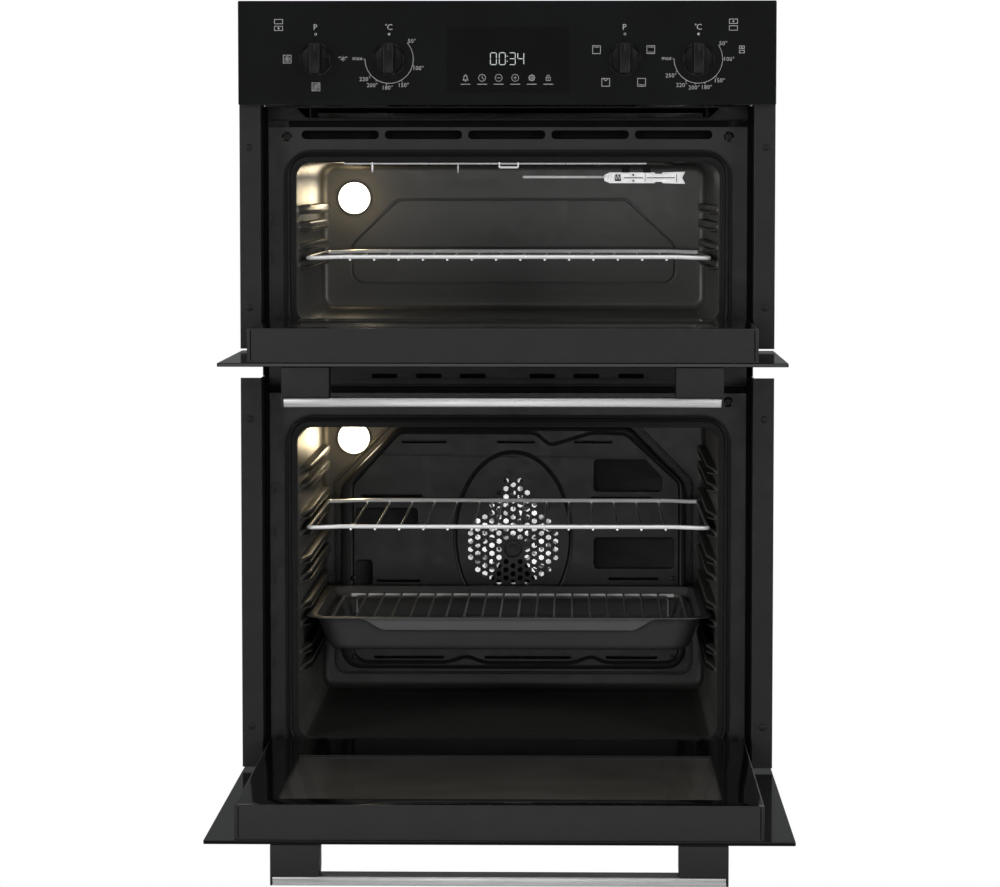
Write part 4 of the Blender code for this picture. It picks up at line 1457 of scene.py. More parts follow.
    def _functions(self) -> None:
        """Print the marks round the two function knobs."""
        line, half = self.line, 0.0046
        centre = Knobs.places["lower_function_knob"]
        for across, up in ((centre - 0.0317, self.knob_height), (centre, self.knob_height - 0.0305)):
            self.ink.frame(across, up, (half, half), line)
            self.ink.arc(across, up, 0.0027, line * 0.8)
            self._star(across, up, 0.0019, 4)
        self.ink.stroke((centre - 0.0036, self.knob_height - 0.0341), (centre + 0.0036,
            self.knob_height - 0.0269), line)
        across, up = centre + 0.0300, self.knob_height + 0.0004
        self._star(across, up, 0.0030, 3)
        for side in (-1, 1):
            self.ink.arc(across + side * 0.0036, up + 0.0008, 0.0012, line, -90, 90)
        centre = Knobs.places["upper_function_knob"]
        spots = {"top": (-0.0312, 0.0102), "both": (0.0286, 0.0102), "vee": (-0.0210, -0.0257),
            "bottom": (0.0185, -0.0257)}
        for kind, (shift, rise) in spots.items():
            across, up = centre + shift, self.knob_height + rise
            self.ink.frame(across, up, (half, half), line)
            for bar, side in (("top", 1), ("bottom", -1)):
                if kind in (bar, "both"):
                    level = up + side * 0.0027
                    self.ink.stroke((across - 0.0030, level), (across + 0.0030, level), line)
            if kind == "vee":
                for side in (-1, 1):
                    self.ink.stroke((across + side * 0.0022, up + 0.0034), (across, up + 0.0014), line)

    def _star(self, across: float, up: float, reach: float, arms: int) -> None:
        """Draw a star of crossing strokes.

        Args:
            across: its middle across.
            up: its middle height.
            reach: half the length of a stroke.
            arms: how many strokes cross.
        """
        for arm in range(arms):
            angle = math.pi * arm / arms + math.pi / 2
            step = (reach * math.cos(angle), reach * math.sin(angle))
            self.ink.stroke((across - step[0], up - step[1]), (across + step[0], up + step[1]),
                self.line * 0.8)

    def _ovens(self) -> None:
        """Print the signs that say which oven each pair of knobs is for."""
        line = self.line
        for across, up, scale, lit in ((-0.2521, 0.8615, 1.0, -1), (0.2494, 0.8615, 1.0, 1),
                (0.2588, 0.8343, 0.64, 1)):
            half = (0.0048 * scale, 0.0027 * scale)
            for side in (-1, 1):
                middle = up + side * 0.0037 * scale
                self.ink.frame(across, middle, half, line)
                if side == lit:
                    self.ink.shape(disc(across, middle, 0.0011 * scale, 8))

    def _touch_marks(self) -> None:
        """Print the six touch marks: bell, clock, minus, plus, gear and lock."""
        up, pitch, line = 0.8033, 0.01827, self.line * 0.85
        places = [pitch * (count - 2.5) for count in range(6)]
        for across in places:
            self.ink.stroke((across - 0.0054, up - 0.0070), (across + 0.0054, up - 0.0070), 0.0007)
        bell, clock, minus, plus, gear, lock = places
        for across in (clock, minus, plus):
            self.ink.arc(across, up, 0.0038, line)
        for across in (minus, plus):
            self.ink.stroke((across - 0.0019, up), (across + 0.0019, up), line)
        self.ink.stroke((plus, up - 0.0019), (plus, up + 0.0019), line)
        self.ink.stroke((clock, up), (clock + 0.0018, up - 0.0016), line)
        self.ink.stroke((clock, up), (clock, up + 0.0024), line)
        outer = [(bell - 0.0034, up - 0.0028), (bell + 0.0034, up - 0.0028), (bell + 0.0022, up - 0.0008),
            (bell + 0.0020, up + 0.0022), (bell, up + 0.0038), (bell - 0.0020, up + 0.0022),
            (bell - 0.0022, up - 0.0008)]
        inner = [(bell + (across - bell) * 0.66, up + (rise - up) * 0.70) for across, rise in outer]
        self.ink.shape(outer, inner)
        self.ink.shape(disc(bell, up - 0.0038, 0.0006, 8))
        teeth = [(gear + (0.0038 if step % 4 < 2 else 0.0030) * math.sin(math.tau * step / 32),
            up + (0.0038 if step % 4 < 2 else 0.0030) * math.cos(math.tau * step / 32))
            for step in range(32)]
        self.ink.shape(teeth, disc(gear, up, 0.0023, 20))
        self.ink.shape(disc(gear, up, 0.0012, 16), disc(gear, up, 0.0006, 12))
        self.ink.frame(lock, up - 0.0012, (0.0026, 0.0021), line)
        self.ink.arc(lock, up + 0.0012, 0.0017, line, -90, 90)
        self.ink.stroke((lock, up - 0.0020), (lock, up - 0.0004), line)

    def _clock(self, front: float) -> None:
        """Model the clock's figures from their lit segments.

        Args:
            front: Y of the glass.
        """
        segments = {"0": "abcdef", "3": "abcdg", "4": "bcfg"}
        wide, tall, line, up = 0.0066, 0.0130, 0.00085, 0.8243
        corners = {"a": ((0, 1), (1, 1)), "b": ((1, 1), (1, 0)), "c": ((1, 0), (1, -1)),
            "d": ((0, -1), (1, -1)), "e": ((0, 0), (0, -1)), "f": ((0, 1), (0, 0)), "g": ((0, 0), (1, 0))}
        ink = Lettering()
        for figure, left in zip("0034", (-0.0182, -0.0084, 0.0026, 0.0120)):
            for key in segments[figure]:
                start, end = [Vector((left + x * wide, up + z * tall / 2)) for x, z in corners[key]]
                gap = (end - start).normalized() * line * 0.62
                ink.stroke(tuple(start + gap), tuple(end - gap), line)
        for side in (-1, 1):
            ink.shape(disc(0.0004, up + side * 0.0028, 0.0006, 10))
        dress(ink.stand(front - 0.00005, self.print_rise), "clock_figures", CLOCK_LIGHT, "chassis",
            soften=False)


@dataclass
class Knobs:
    """The four rotary knobs: a disc with a grip bar and a printed pointer."""

    grip_half: float = 0.0064
    grip_tall: float = 0.0172
    grip_front: float = -0.0240
    places: ClassVar[dict[str, float]] = {"lower_function_knob": -0.211, "lower_temperature_knob": -0.130,
        "upper_function_knob": 0.130, "upper_temperature_knob": 0.211}

    def build(self) -> None:
        """Model one knob and copy it to the four places."""
        first = self._knob()
        pointer = block("pointer", (-0.0003, self.grip_front - 0.0001, 0.0085), (0.0003,
            self.grip_front + 0.0004, 0.0150), 0.0001, 1)
        for name, across in self.places.items():
            shift = (across, 0.0, ControlPanel.knob_height)
            body = name.replace("_knob", "_control")
            dress(twin(first, name, shift), f"{name}_body", KNOB_PLASTIC, body, [name])
            dress(twin(pointer, name, shift), f"{name}_pointer", DIM_PRINT, body)
        for piece in (first, pointer):
            bpy.data.objects.remove(piece, do_unlink=True)

    def _knob(self) -> Piece:
        """Model a knob about the axis through the origin.

        Returns:
            The knob.
        """
        knob = turned("knob", [(0.0029, -0.0100), (0.0029, 0.0007), (0.0172, 0.0007), (0.0180, 0.0012),
            (0.0180, 0.0058), (0.0177, 0.0074), (0.0170, 0.0084), (0.0160, 0.0088), (0.0157, 0.0085),
            (0.0150, 0.0083), (0.0020, 0.0080)], (0.0, 0.0, 0.0), Facing.FRONT, 72)
        half, tall = self.grip_half, self.grip_tall
        grip = block("grip", (-half, self.grip_front, -tall), (half, -0.0070, tall))
        with Shaping(grip) as work:
            work.faces(lambda centre, normal: normal.y < -0.9)
            bpy.ops.transform.resize(value=(0.90, 1.0, 0.965), center_override=(0.0, self.grip_front, 0.0))
            work.edges(lambda middle, run: abs(run.y) > 0.7)
            work.bevel(0.0016, 4)
            work.edges(lambda middle, run: middle.y < self.grip_front + 0.0001)
            work.bevel(0.0010, 3)
        combine(knob, [grip], Join.ADD)
        grooves = [block("groove", (side * (half + 0.0004) - 0.0003, -0.0086, -tall - 0.0008),
            (side * (half + 0.0004) + 0.0003, -0.0074, tall + 0.0008)) for side in (-1, 1)]
        return combine(knob, grooves, Join.CUT)


# --- Cavities -----------------------------------------------------------------


@dataclass
class Cavity:
    """One enamelled liner, pressed from sheet: ribs up its sides and a shaped back wall.

    Attributes:
        level: the oven that it belongs to.
        shelves: height of each shelf level.
        dish: sharp outline of the back wall's pressing.
        dish_width: width of the pressing, raised in the lower oven and sunk in the upper one.
        lamp: middle of the lamp's hole.
        finish: its enamel; the lower oven's is a darker copy of the enamel, painted shade.
    """

    level: Level
    shelves: Sequence[float]
    dish: Outline
    dish_width: float
    lamp: Flat
    finish: Finish
    corner: float = 0.018
    back_corner: float = 0.009
    rib_reach: float = 0.0100
    rib_start: float = 0.0790

    def build(self) -> None:
        """Model the room inside the liner, then give it the sheet's thickness."""
        node = f"{self.level.value}_cavity"
        low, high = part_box(node)
        front, back = low.y, high.y - SHEET
        room = block(node, (low.x + SHEET, front, low.z + SHEET), (high.x - SHEET, back, high.z - SHEET))
        with Shaping(room) as work:
            work.edges(lambda middle, run: abs(run.y) > 0.9)
            work.bevel(self.corner, 8)
            work.edges(lambda middle, run: middle.y > back - 0.0001 and abs(run.y) < 0.1)
            work.bevel(self.back_corner, 5)
        combine(room, self._ribs(high.x - SHEET, back), Join.CUT)
        self._press_back(room, back)
        with Shaping(room) as work:
            work.faces(lambda centre, normal: normal.y < -0.9 and centre.y < front + 0.0001)
            work.drop()
        modify(room, "SOLIDIFY", thickness=SHEET * 0.9, offset=1.0)
        hole = turned("hole", [(0.0175, -0.02), (0.0175, 0.02)], (self.lamp[0], back, self.lamp[1]),
            Facing.FRONT, 32)
        combine(room, [hole], Join.CUT)
        dress(room, f"{self.level.value}_liner", self.finish, "chassis", [node])
        # Painted light and shade: the side walls get the lighter enamel, so in the lower oven they are
        # lighter than its darker back and floor.
        second_finish(room, ENAMEL, lambda centre, normal: abs(normal.x) > 0.55 and centre.y < back - 0.0100)

    def _ribs(self, wall: float, back: float) -> list[Piece]:
        """Model the tools that press two ribs for each shelf level into both sides.

        Args:
            wall: half width of the cavity.
            back: Y of its back wall.

        Returns:
            The tools.
        """
        tools = []
        end = back - 0.006
        for height in self.shelves:
            for low, high in ((-0.0155, -0.0033), (0.0045, 0.0155)):
                middle, half = height + (low + high) / 2, (high - low) / 2
                ramp = self.rib_start + 0.045
                outline = [(self.rib_start, middle - half * 0.75), (ramp, middle - half),
                    (end - 0.012, middle - half), (end, middle - half * 0.7), (end, middle + half * 0.7),
                    (end - 0.012, middle + half), (ramp, middle + half), (self.rib_start,
                    middle + half * 0.75)]
                tool = plate("rib", [bent_outline(outline, 0.0034, 4)], wall - self.rib_reach, wall + 0.014,
                    Facing.SIDE, rounding=0.0028)
                with Shaping(tool) as work:
                    work.points(lambda place: place.y < self.rib_start + 0.008 and place.x < wall)
                    bpy.ops.transform.translate(value=(self.rib_reach - 0.0015, 0.0, 0.0))
                tools += [tool, twin(tool, "rib", mirrored=True)]
        return tools

    def _press_back(self, room: Piece, back: float) -> None:
        """Sink the dish, or raise its bead, in the back wall.

        Args:
            room: the room inside the liner.
            back: Y of its back wall.
        """
        heights = [up for _, up in self.dish]
        half = max(across for across, _ in self.dish)
        centre, tall = (max(heights) + min(heights)) / 2, (max(heights) - min(heights)) / 2
        inner = [(across * (1 - self.dish_width / half),
            centre + (up - centre) * (1 - self.dish_width / tall)) for across, up in self.dish]
        lines = [bent_outline(self.dish, 0.016), bent_outline(inner, 0.014)]
        if self.level is Level.LOWER:
            combine(room, [plate("bead", lines, back - 0.0022, back + 0.004, rounding=0.0012)], Join.CUT)
        else:
            combine(room, [plate("groove", lines, back - 0.004, back + 0.0034, rounding=0.0007)], Join.ADD)


@dataclass
class DoorSeal:
    """The rubber ring round one mouth, with a hollow bead that the door squeezes."""

    level: Level
    corner: float = 0.018
    width: float = 0.0134
    spread: float = 0.0016

    def build(self) -> None:
        """Model the flat ring and its bead."""
        node = f"{self.level.value}_door_seal"
        low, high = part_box(node)
        spread = self.spread
        left, bottom, right, top = low.x - spread, low.z - spread, high.x + spread, high.z + spread
        inner = rounded(left + self.width, bottom + self.width, right - self.width, top - self.width,
            self.corner)
        outer = rounded(left, bottom, right, top, self.corner + self.width)
        ring = plate("ring", [outer, inner], low.y + 0.0022, high.y, rounding=0.0006)
        inset = self.width * 0.36
        bead = wire("bead", [(across, low.y + 0.0024, up) for across, up in rounded(left + inset,
            bottom + inset, right - inset, top - inset, self.corner + inset)], 0.0023, closed=True)
        dress(merge("seal", [ring, bead]), f"{self.level.value}_seal_ring", SEAL_RUBBER, "chassis",
            [node])


@dataclass
class CavityLamp:
    """A lit lens in its bezel on the back wall."""

    level: Level

    def build(self) -> None:
        """Turn the domed lens and the thin bezel round it."""
        low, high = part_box(f"{self.level.value}_lamp_lens")
        place = ((low.x + high.x) / 2, high.y, (low.z + high.z) / 2)
        radius = (high.x - low.x) / 2 - 0.0014
        dome = [(radius, 0.0), (radius, 0.0030)]
        dome += [(radius * math.cos(turn), 0.0030 + 0.0058 * math.sin(turn)) for turn in (0.2, 0.4, 0.6,
            0.8, 1.0, 1.2, 1.4, 1.53)]
        lens = turned("lens", dome, place, Facing.FRONT, 56)
        dress(lens, f"{self.level.value}_lamp_glass", LAMP_GLASS, "chassis",
            [f"{self.level.value}_lamp_lens"])
        outer = radius + 0.0014
        bezel = turned("bezel", [(outer, 0.0), (outer, 0.0030), (outer - 0.0005, 0.0038),
            (radius + 0.0001, 0.0036), (radius + 0.0001, 0.0)], place, Facing.FRONT, 56)
        dress(bezel, f"{self.level.value}_lamp_bezel", ENAMEL, "chassis")


@dataclass
class FanBay:
    """The cover over the fan, with its pressings, slots and perforated intake."""

    contour: Sequence[Flat] = ((-0.1980, 0.3180), (-0.1400, 0.3822), (0.0271, 0.3818), (0.0455, 0.3662),
        (0.0969, 0.3818), (0.1385, 0.3808), (0.2050, 0.3200), (0.2050, 0.1080), (0.1940, 0.0978),
        (0.1135, 0.0978), (0.0970, 0.1055), (0.0731, 0.0970), (-0.0335, 0.0970), (-0.0574, 0.1055),
        (-0.0810, 0.0978), (-0.1860, 0.0978), (-0.1980, 0.1080))
    hub: Flat = (0.0, 0.2385)
    hole: float = 0.0035
    column: float = 0.0087
    row: float = 0.0100

    def build(self) -> None:
        """Model the cover and dress what turns behind it, and the painted glow and painted shade seen through
        its holes.
        """
        low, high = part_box("fan_baffle")
        cover = plate("cover", [self._outline()], low.y, high.y, rounding=0.0042)
        well = turned("well", [(0.096, 0.0), (0.096, -0.05)], (0.0, low.y + 0.0038, 0.2480), Facing.FRONT, 64)
        combine(cover, [well], Join.CUT)
        combine(cover, self._pressings(low.y), Join.CUT)
        combine(cover, self._holes(low.y), Join.CUT)
        ring = [(across, low.y + 0.0003, up) for across, up in disc(0.0, 0.2535, 0.0712, 72, 1.465)]
        edge = bent([(across, low.y + 0.0003, up) for across, up in self.contour], 0.007, True, 4)
        combine(cover, [wire("groove", ring, 0.0027, closed=True)], Join.CUT)
        combine(cover, [wire("groove", edge, 0.0024, closed=True)], Join.CUT)
        hub = turned("hub", [(0.0115, -0.0012), (0.0110, 0.0006), (0.0095, 0.0012), (0.0060, 0.0006),
            (0.0010, 0.0004)], (self.hub[0], low.y, self.hub[1]), Facing.FRONT, 36)
        cover = merge("cover", [cover, hub])
        dress(cover, "fan_cover", COVER_ENAMEL, "chassis", ["fan_baffle"])
        # Painted shade: the forward-facing floors of the recesses get the darker strip paint in place of the
        # shade that falls in them.
        second_finish(cover, SHADE_PAINT, lambda centre, normal: normal.y < -0.9
            and low.y + 0.007 < centre.y < low.y + 0.010)
        screws = [screw_head("screw", (across, low.y, up), Facing.FRONT, 0.0030) for across in (-0.196,
            0.196) for up in (0.1040, 0.2020)]
        dress(merge("screws", screws), "fan_cover_screws", COVER_ENAMEL, "chassis")
        # Painted light: a glowing plate behind the fan wheel, shaped so that its glow paints the glints seen
        # through the intake's holes.
        wheel = plate("plate", [self._glints(0.0560), disc(0.0, self.hub[1], 0.0160, 40)], 0.4473, 0.4485,
            rounding=0.0003)
        dress(wheel, "fan_chamber_glow_disc", FAN_STEEL_PAINTED_GLINTS, "chassis")
        # Painted shade: a near-black plate below the hub darkens the bottom of the intake, where the shade
        # falls.
        shade_wedge = plate("shade_wedge", [[(-0.0120, 0.2280), (-0.0300, 0.1960), (0.0300, 0.1960), (0.0120, 0.2280)]],
            0.4240, 0.4250, rounding=0.0003)
        dress(shade_wedge, "fan_painted_shade_wedge", MATT_BLACK_AND_PAINTED_SHADE, "chassis")
        dress_node("fan_impeller", FAN_STEEL_PAINTED_GLINTS)
        dress_node("ring_element", SHEATH)

    def _outline(self) -> Outline:
        """Outline of the cover: cut-off corners above, round ones below.

        Returns:
            The outline.
        """
        low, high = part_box("fan_baffle")
        shoulder = high.z - 0.071
        sharp = [(low.x, low.z), (high.x, low.z), (high.x, shoulder), (high.x - 0.069, high.z),
            (low.x + 0.069, high.z), (low.x, shoulder)]
        return bent_outline(sharp, 0.024, 6)

    def _glints(self, radius: float) -> Outline:
        """Outline of the glowing plate behind the wheel, whose glow paints the glints seen through the holes:
        a round with a tall head and an open foot.

        Args:
            radius: radius of the round.

        Returns:
            The outline.
        """
        up = self.hub[1]
        round_part = [(radius * math.sin(math.radians(turn)), up + radius * math.cos(math.radians(turn)))
            for turn in range(24, 337, 8) if not 156 < turn < 204]
        foot = [(0.0200, up - 0.0200), (-0.0200, up - 0.0200)]
        split = sum(1 for turn in range(24, 337, 8) if turn <= 156)
        head = [(-0.0060, up + 0.0900), (0.0220, up + 0.0860)]
        return round_part[:split] + foot + round_part[split:] + head

    def _pressings(self, front: float) -> list[Piece]:
        """Model the tools of the recesses at both sides and of the top band's step.

        Args:
            front: Y of the cover's face.

        Returns:
            The tools.
        """
        spots = [(-0.194, 0.266, -0.117, 0.289), (0.099, 0.309, 0.183, 0.349), (0.099, 0.214, 0.198, 0.253),
            (-0.194, 0.192, -0.173, 0.225)]
        tools = []
        for left, bottom, right, top in spots:
            sharp = [(left, bottom), (right, bottom), (right, top), (left, top)]
            if right - left > 0.05 and top > 0.30:
                sharp = [(left, bottom), (right, bottom), (right, top - 0.022), (right - 0.020, top),
                    (left, top)]
            tools.append(plate("recess", [bent_outline(sharp, 0.005)], front - 0.01, front + 0.0085,
                rounding=0.0016))
        band = [(-0.1750, 0.3540), (0.1700, 0.3490), (0.1700, 0.3514), (-0.1750, 0.3564)]
        tools.append(plate("band", [band], front - 0.01, front + 0.0012, rounding=0.0004))
        return tools

    def _holes(self, front: float) -> list[Piece]:
        """Model the punches of the outlet slots and of the intake's six-sided holes.

        Args:
            front: Y of the cover's face.

        Returns:
            The punches.
        """
        slots = [(-0.137, -0.082, 0.3705), (-0.020, 0.027, 0.3705), (0.075, 0.122, 0.3705),
            (-0.187, -0.111, 0.3040), (0.095, 0.171, 0.3010), (-0.169, -0.114, 0.1990),
            (0.117, 0.179, 0.2020), (-0.172, -0.085, 0.1040), (-0.035, 0.072, 0.1040),
            (0.114, 0.178, 0.1040)]
        tools = [plate("slot", [capsule((left + right) / 2, height, right - left, 0.0042)], front - 0.01,
            front + 0.0260) for left, right, height in slots]
        first = turned("hole", [(self.hole, -0.008), (self.hole, 0.004)], (0.0, front, 0.0), Facing.FRONT, 6)
        for count in range(-6, 7):
            across = self.column * count
            for step in range(14):
                up = 0.1975 + self.row * (step + (count % 2) / 2)
                roof = 0.3225 - max(0.0, abs(across) - 0.012) * 1.55
                floor = 0.1966 + max(0.0, abs(across) - 0.030) * 0.95
                near_hub = math.hypot(across - self.hub[0], up - self.hub[1]) < 0.0145
                if floor <= up <= roof and not near_hub:
                    tools.append(twin(first, "hole", (across, 0.0, up)))
        bpy.data.objects.remove(first, do_unlink=True)
        return tools


@dataclass
class GrillElement:
    """The heating rod under the upper ceiling, bent in loops, with its hangers."""

    radius: float = 0.0020
    height: float = 0.7096
    half_path: Sequence[Flat] = ((0.020, 0.475), (0.020, 0.405), (0.185, 0.405), (0.185, 0.095),
        (0.105, 0.095), (0.105, 0.345), (0.035, 0.345), (0.035, 0.095))

    def build(self) -> None:
        """Bend the rod and hang it from the ceiling."""
        right = [(across, depth, self.height) for across, depth in self.half_path]
        left = [(-across, depth, up) for across, depth, up in reversed(right)]
        rod = wire("rod", bent(right + left, 0.020, steps=8), self.radius, smooth=3)
        dress(rod, "grill_rod", SHEATH, "chassis", ["grill_element"])
        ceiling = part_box("upper_cavity")[1].z - SHEET
        hooks = [wire("hook", bent([(across, depth - 0.005, ceiling), (across, depth - 0.005, 0.7000),
            (across, depth + 0.005, 0.7000), (across, depth + 0.005, ceiling)], 0.004, steps=4), 0.0008)
            for across, depth in ((-0.154, 0.095), (-0.065, 0.345))]
        edge = [(-0.0103, ceiling), (-0.0103, 0.7047), (0.0111, 0.7047), (0.0111, ceiling)]
        clip = wire("clip", bent([(across, 0.0890, up) for across, up in edge], 0.0015, steps=3), 0.0008)
        shelf = block("strap", (-0.0098, 0.0884, 0.7044), (0.0106, 0.0992, 0.7064), 0.0004, 2)
        rail = wire("rail", [(-0.1860, 0.0900, 0.7094), (0.1560, 0.0900, 0.7094)], 0.0009)
        hooks += [shelf, rail]
        # The hangers, clip and rail carry the sheet steel's painted glow; the rail paints a bright line under
        # the ceiling.
        dress(merge("hangers", hooks + [clip]), "grill_hangers", STEEL_PAINTED_GLOW, "chassis")


@dataclass
class Thermostat:
    """The upper oven's temperature feeler and the punched bracket that holds it."""

    middle: float = 0.6936
    half: float = 0.0063
    front: float = 0.2590
    gauge: float = 0.0010

    def build(self) -> None:
        """Model the feeler, the bracket and the spring clip between them."""
        low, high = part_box("thermostat_phial")
        depth, up = (low.y + high.y) / 2, (low.z + high.z) / 2
        radius = (high.z - low.z) / 2
        tip = [(radius * 0.2, 0.0), (radius * 0.7, 0.0006), (radius, 0.0018), (radius, 0.0960),
            (radius * 0.62, 0.0972), (radius * 0.62, 0.1080)]
        feeler = turned("feeler", tip, (0.0, 0.0, 0.0), Facing.TOP, 20)
        feeler.rotation_euler = (0.0, math.pi / 2, 0.0)
        feeler.location = (low.x, depth, up)
        settle(feeler)
        dress(feeler, "feeler_rod", STEEL_PAINTED_GLOW, "chassis", ["thermostat_phial"])
        middle, half = self.middle, self.half
        edge = [(0.1100, middle - 0.0035), (0.1165, middle - half), (0.1690, middle - half),
            (0.1700, middle - half + 0.0016), (0.1775, middle - half + 0.0016), (0.1785, middle - half),
            (0.1905, middle - half - 0.0004), (0.2050, middle - 0.0070), (0.2015, middle),
            (0.2050, middle + 0.0070), (0.1905, middle + half + 0.0004), (0.1785, middle + half),
            (0.1775, middle + half - 0.0016), (0.1700, middle + half - 0.0016), (0.1690, middle + half),
            (0.1165, middle + half), (0.1100, middle + 0.0035)]
        holes = [rectangle(0.1330, middle - 0.0006, 0.1560, middle + 0.0006), rectangle(0.1600,
            middle - 0.0006, 0.1930, middle + 0.0006), rectangle(0.1222, middle - 0.0040, 0.1296,
            middle + 0.0040), rectangle(0.1575, middle - 0.0050, 0.1583, middle + 0.0050),
            rectangle(0.1946, middle - 0.0050, 0.1955, middle + 0.0050), disc(0.1440, middle - 0.0034,
            0.0013, 14), disc(0.1440, middle + 0.0034, 0.0013, 14)]
        arm = plate("arm", [edge] + holes, self.front, self.front + self.gauge, rounding=0.0002)
        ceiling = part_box("upper_cavity")[1].z - SHEET
        tabs = [block("tab", (across - 0.0045, self.front, middle + half - 0.001),
            (across + 0.0045, self.front + self.gauge, ceiling), 0.0002, 1) for across in (0.1350, 0.1600)]
        dress(arm, "feeler_bracket", PLATED_STEEL_PAINTED_GLOW, "chassis", ["phial_bracket"])
        dress(merge("tabs", tabs), "feeler_bracket_tabs", SHADE_PAINT, "chassis")
        coil = [(0.1110 + 0.0210 * step / 60, depth - 0.0024 * math.cos(math.tau * step / 10),
            up + 0.0024 * math.sin(math.tau * step / 10)) for step in range(61)]
        dress(wire("spring", coil, 0.0005, smooth=1), "feeler_spring", STEEL_PAINTED_GLOW, "chassis")


# --- Shelves and tray ---------------------------------------------------------


@dataclass
class WireShelf:
    """A chromed wire shelf: a frame whose front and back rise, and fourteen bars."""

    level: Level
    height: float
    frame_wire: float = 0.0023
    bar_wire: float = 0.0013
    bars: int = 14
    pitch: float = 0.0275
    rise: float = 0.0001
    half: float = 0.2265

    def build(self) -> None:
        """Bend the frame, lay the bars under it and weld them on."""
        low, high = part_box(f"{self.level.value}_wire_shelf")
        front, back = low.y + 0.0028, high.y - 0.0028
        side_up, end_up = self.height - 0.0010, self.height + self.rise
        half = self.half
        corners = [(-half, front, side_up), (-0.2165, front, side_up), (-0.1900, front, end_up),
            (0.1900, front, end_up), (0.2165, front, side_up), (half, front, side_up),
            (half, back, side_up), (0.2165, back, side_up), (0.1900, back, end_up), (-0.1900, back, end_up),
            (-0.2165, back, side_up), (-half, back, side_up)]
        rim = wire("rim", bent(corners, 0.007, True), self.frame_wire, closed=True, smooth=3)
        under = self.height - 0.0036
        first = wire("bar", bent([(0.0, front + 0.0010, end_up - 0.0030), (0.0, front + 0.0075, under),
            (0.0, back - 0.0075, under), (0.0, back - 0.0010, end_up - 0.0030)], 0.003), self.bar_wire)
        bars = [twin(first, "bar", (self.pitch * (count - (self.bars - 1) / 2), 0.0, 0.0))
            for count in range(self.bars)]
        bpy.data.objects.remove(first, do_unlink=True)
        body = f"{self.level.value}_shelf"
        rack = dress(merge("shelf", [rim] + bars), f"{self.level.value}_wire_rack", CHROME_PAINTED_LIGHT, body,
            [f"{self.level.value}_wire_shelf"])
        # Painted light and shade: the front and back wires keep the glowing chrome as a painted highlight,
        # and the middle of the bars and the side wires get the darker wire steel as painted shade.
        second_finish(rack, WIRE_STEEL_AND_PAINTED_SHADE, lambda centre, normal: front + 0.0045 < centre.y < back - 0.0045)


@dataclass
class BakingTray:
    """The deep enamelled tray with its wide rim and folded front."""

    lip: float = 0.0115
    slope: float = 0.0145
    corner: float = 0.026
    base_corner: float = 0.008
    drop: float = 0.0045

    def build(self) -> None:
        """Draw the tray from a block and add the lip on its front wall."""
        low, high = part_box("baking_tray")
        rim = high.z - 0.0004
        half = high.x - self.lip
        front, back = low.y + self.lip, high.y - self.lip
        middle = (front + back) / 2
        tray = block("tray", (-half, front, low.z - self.drop), (half, back, rim))
        with Shaping(tray) as work:
            work.faces(lambda centre, normal: normal.z < -0.9)
            bpy.ops.transform.resize(value=(1 - self.slope / half, 1 - self.slope / (middle - front), 1.0),
                center_override=(0.0, middle, low.z - self.drop))
            work.edges(lambda centre, run: abs(run.z) > 0.5)
            work.bevel(self.corner, 8)
            work.edges(lambda centre, run: centre.z < low.z and abs(run.z) < 0.1)
            work.bevel(self.base_corner, 5)
            work.faces(lambda centre, normal: normal.z > 0.9)
            bpy.ops.mesh.inset(thickness=0.0026, depth=0.0)
            work.drop()
            work.faces(lambda centre, normal: normal.z > 0.9 and centre.z > rim - 0.0001)
            work.drop()
            work.edges(lambda centre, run: centre.z > rim - 0.0001)
            bpy.ops.mesh.extrude_edges_move()
            bpy.ops.transform.resize(value=((half + self.lip) / half, (middle - low.y) / (middle - front),
                1.0), center_override=(0.0, middle, rim))
            bpy.ops.mesh.select_all(action="SELECT")
            bpy.ops.mesh.normals_make_consistent(inside=False)
        modify(tray, "SOLIDIFY", thickness=0.0014, offset=0.0)
        modify(tray, "BEVEL", width=0.0005, segments=2, limit_method="ANGLE")
        dress(tray, "roasting_tray", TRAY_ENAMEL, "tray", ["baking_tray"])
        # Painted light: the tray's upward faces and the inside of its back wall, which face the lights, get
        # the lighter enamel.
        second_finish(tray, TRAY_LIP_AND_LIT_ENAMEL, lambda centre, normal: centre.z < rim - 0.0015
            and (normal.z > 0.5 or (normal.y < -0.5 and centre.y > middle)))
        self._front_lip(low.y, high.z)

    def _front_lip(self, front: float, top: float) -> None:
        """Model the pouring lip that slopes down inside the front wall.

        Args:
            front: Y of the rim's front edge.
            top: the rim's height.
        """
        outline = [(-0.1420, top - 0.0150), (0.1420, top - 0.0150), (0.1480, top - 0.0125),
            (0.1620, top - 0.0040), (0.1715, top - 0.0016), (-0.1715, top - 0.0016),
            (-0.1620, top - 0.0040), (-0.1480, top - 0.0125)]
        lip = plate("lip", [outline], front + self.lip - 0.0024, front + self.lip + 0.0006, rounding=0.0004)
        dress(lip, "tray_pouring_lip", TRAY_LIP_AND_LIT_ENAMEL, "tray")


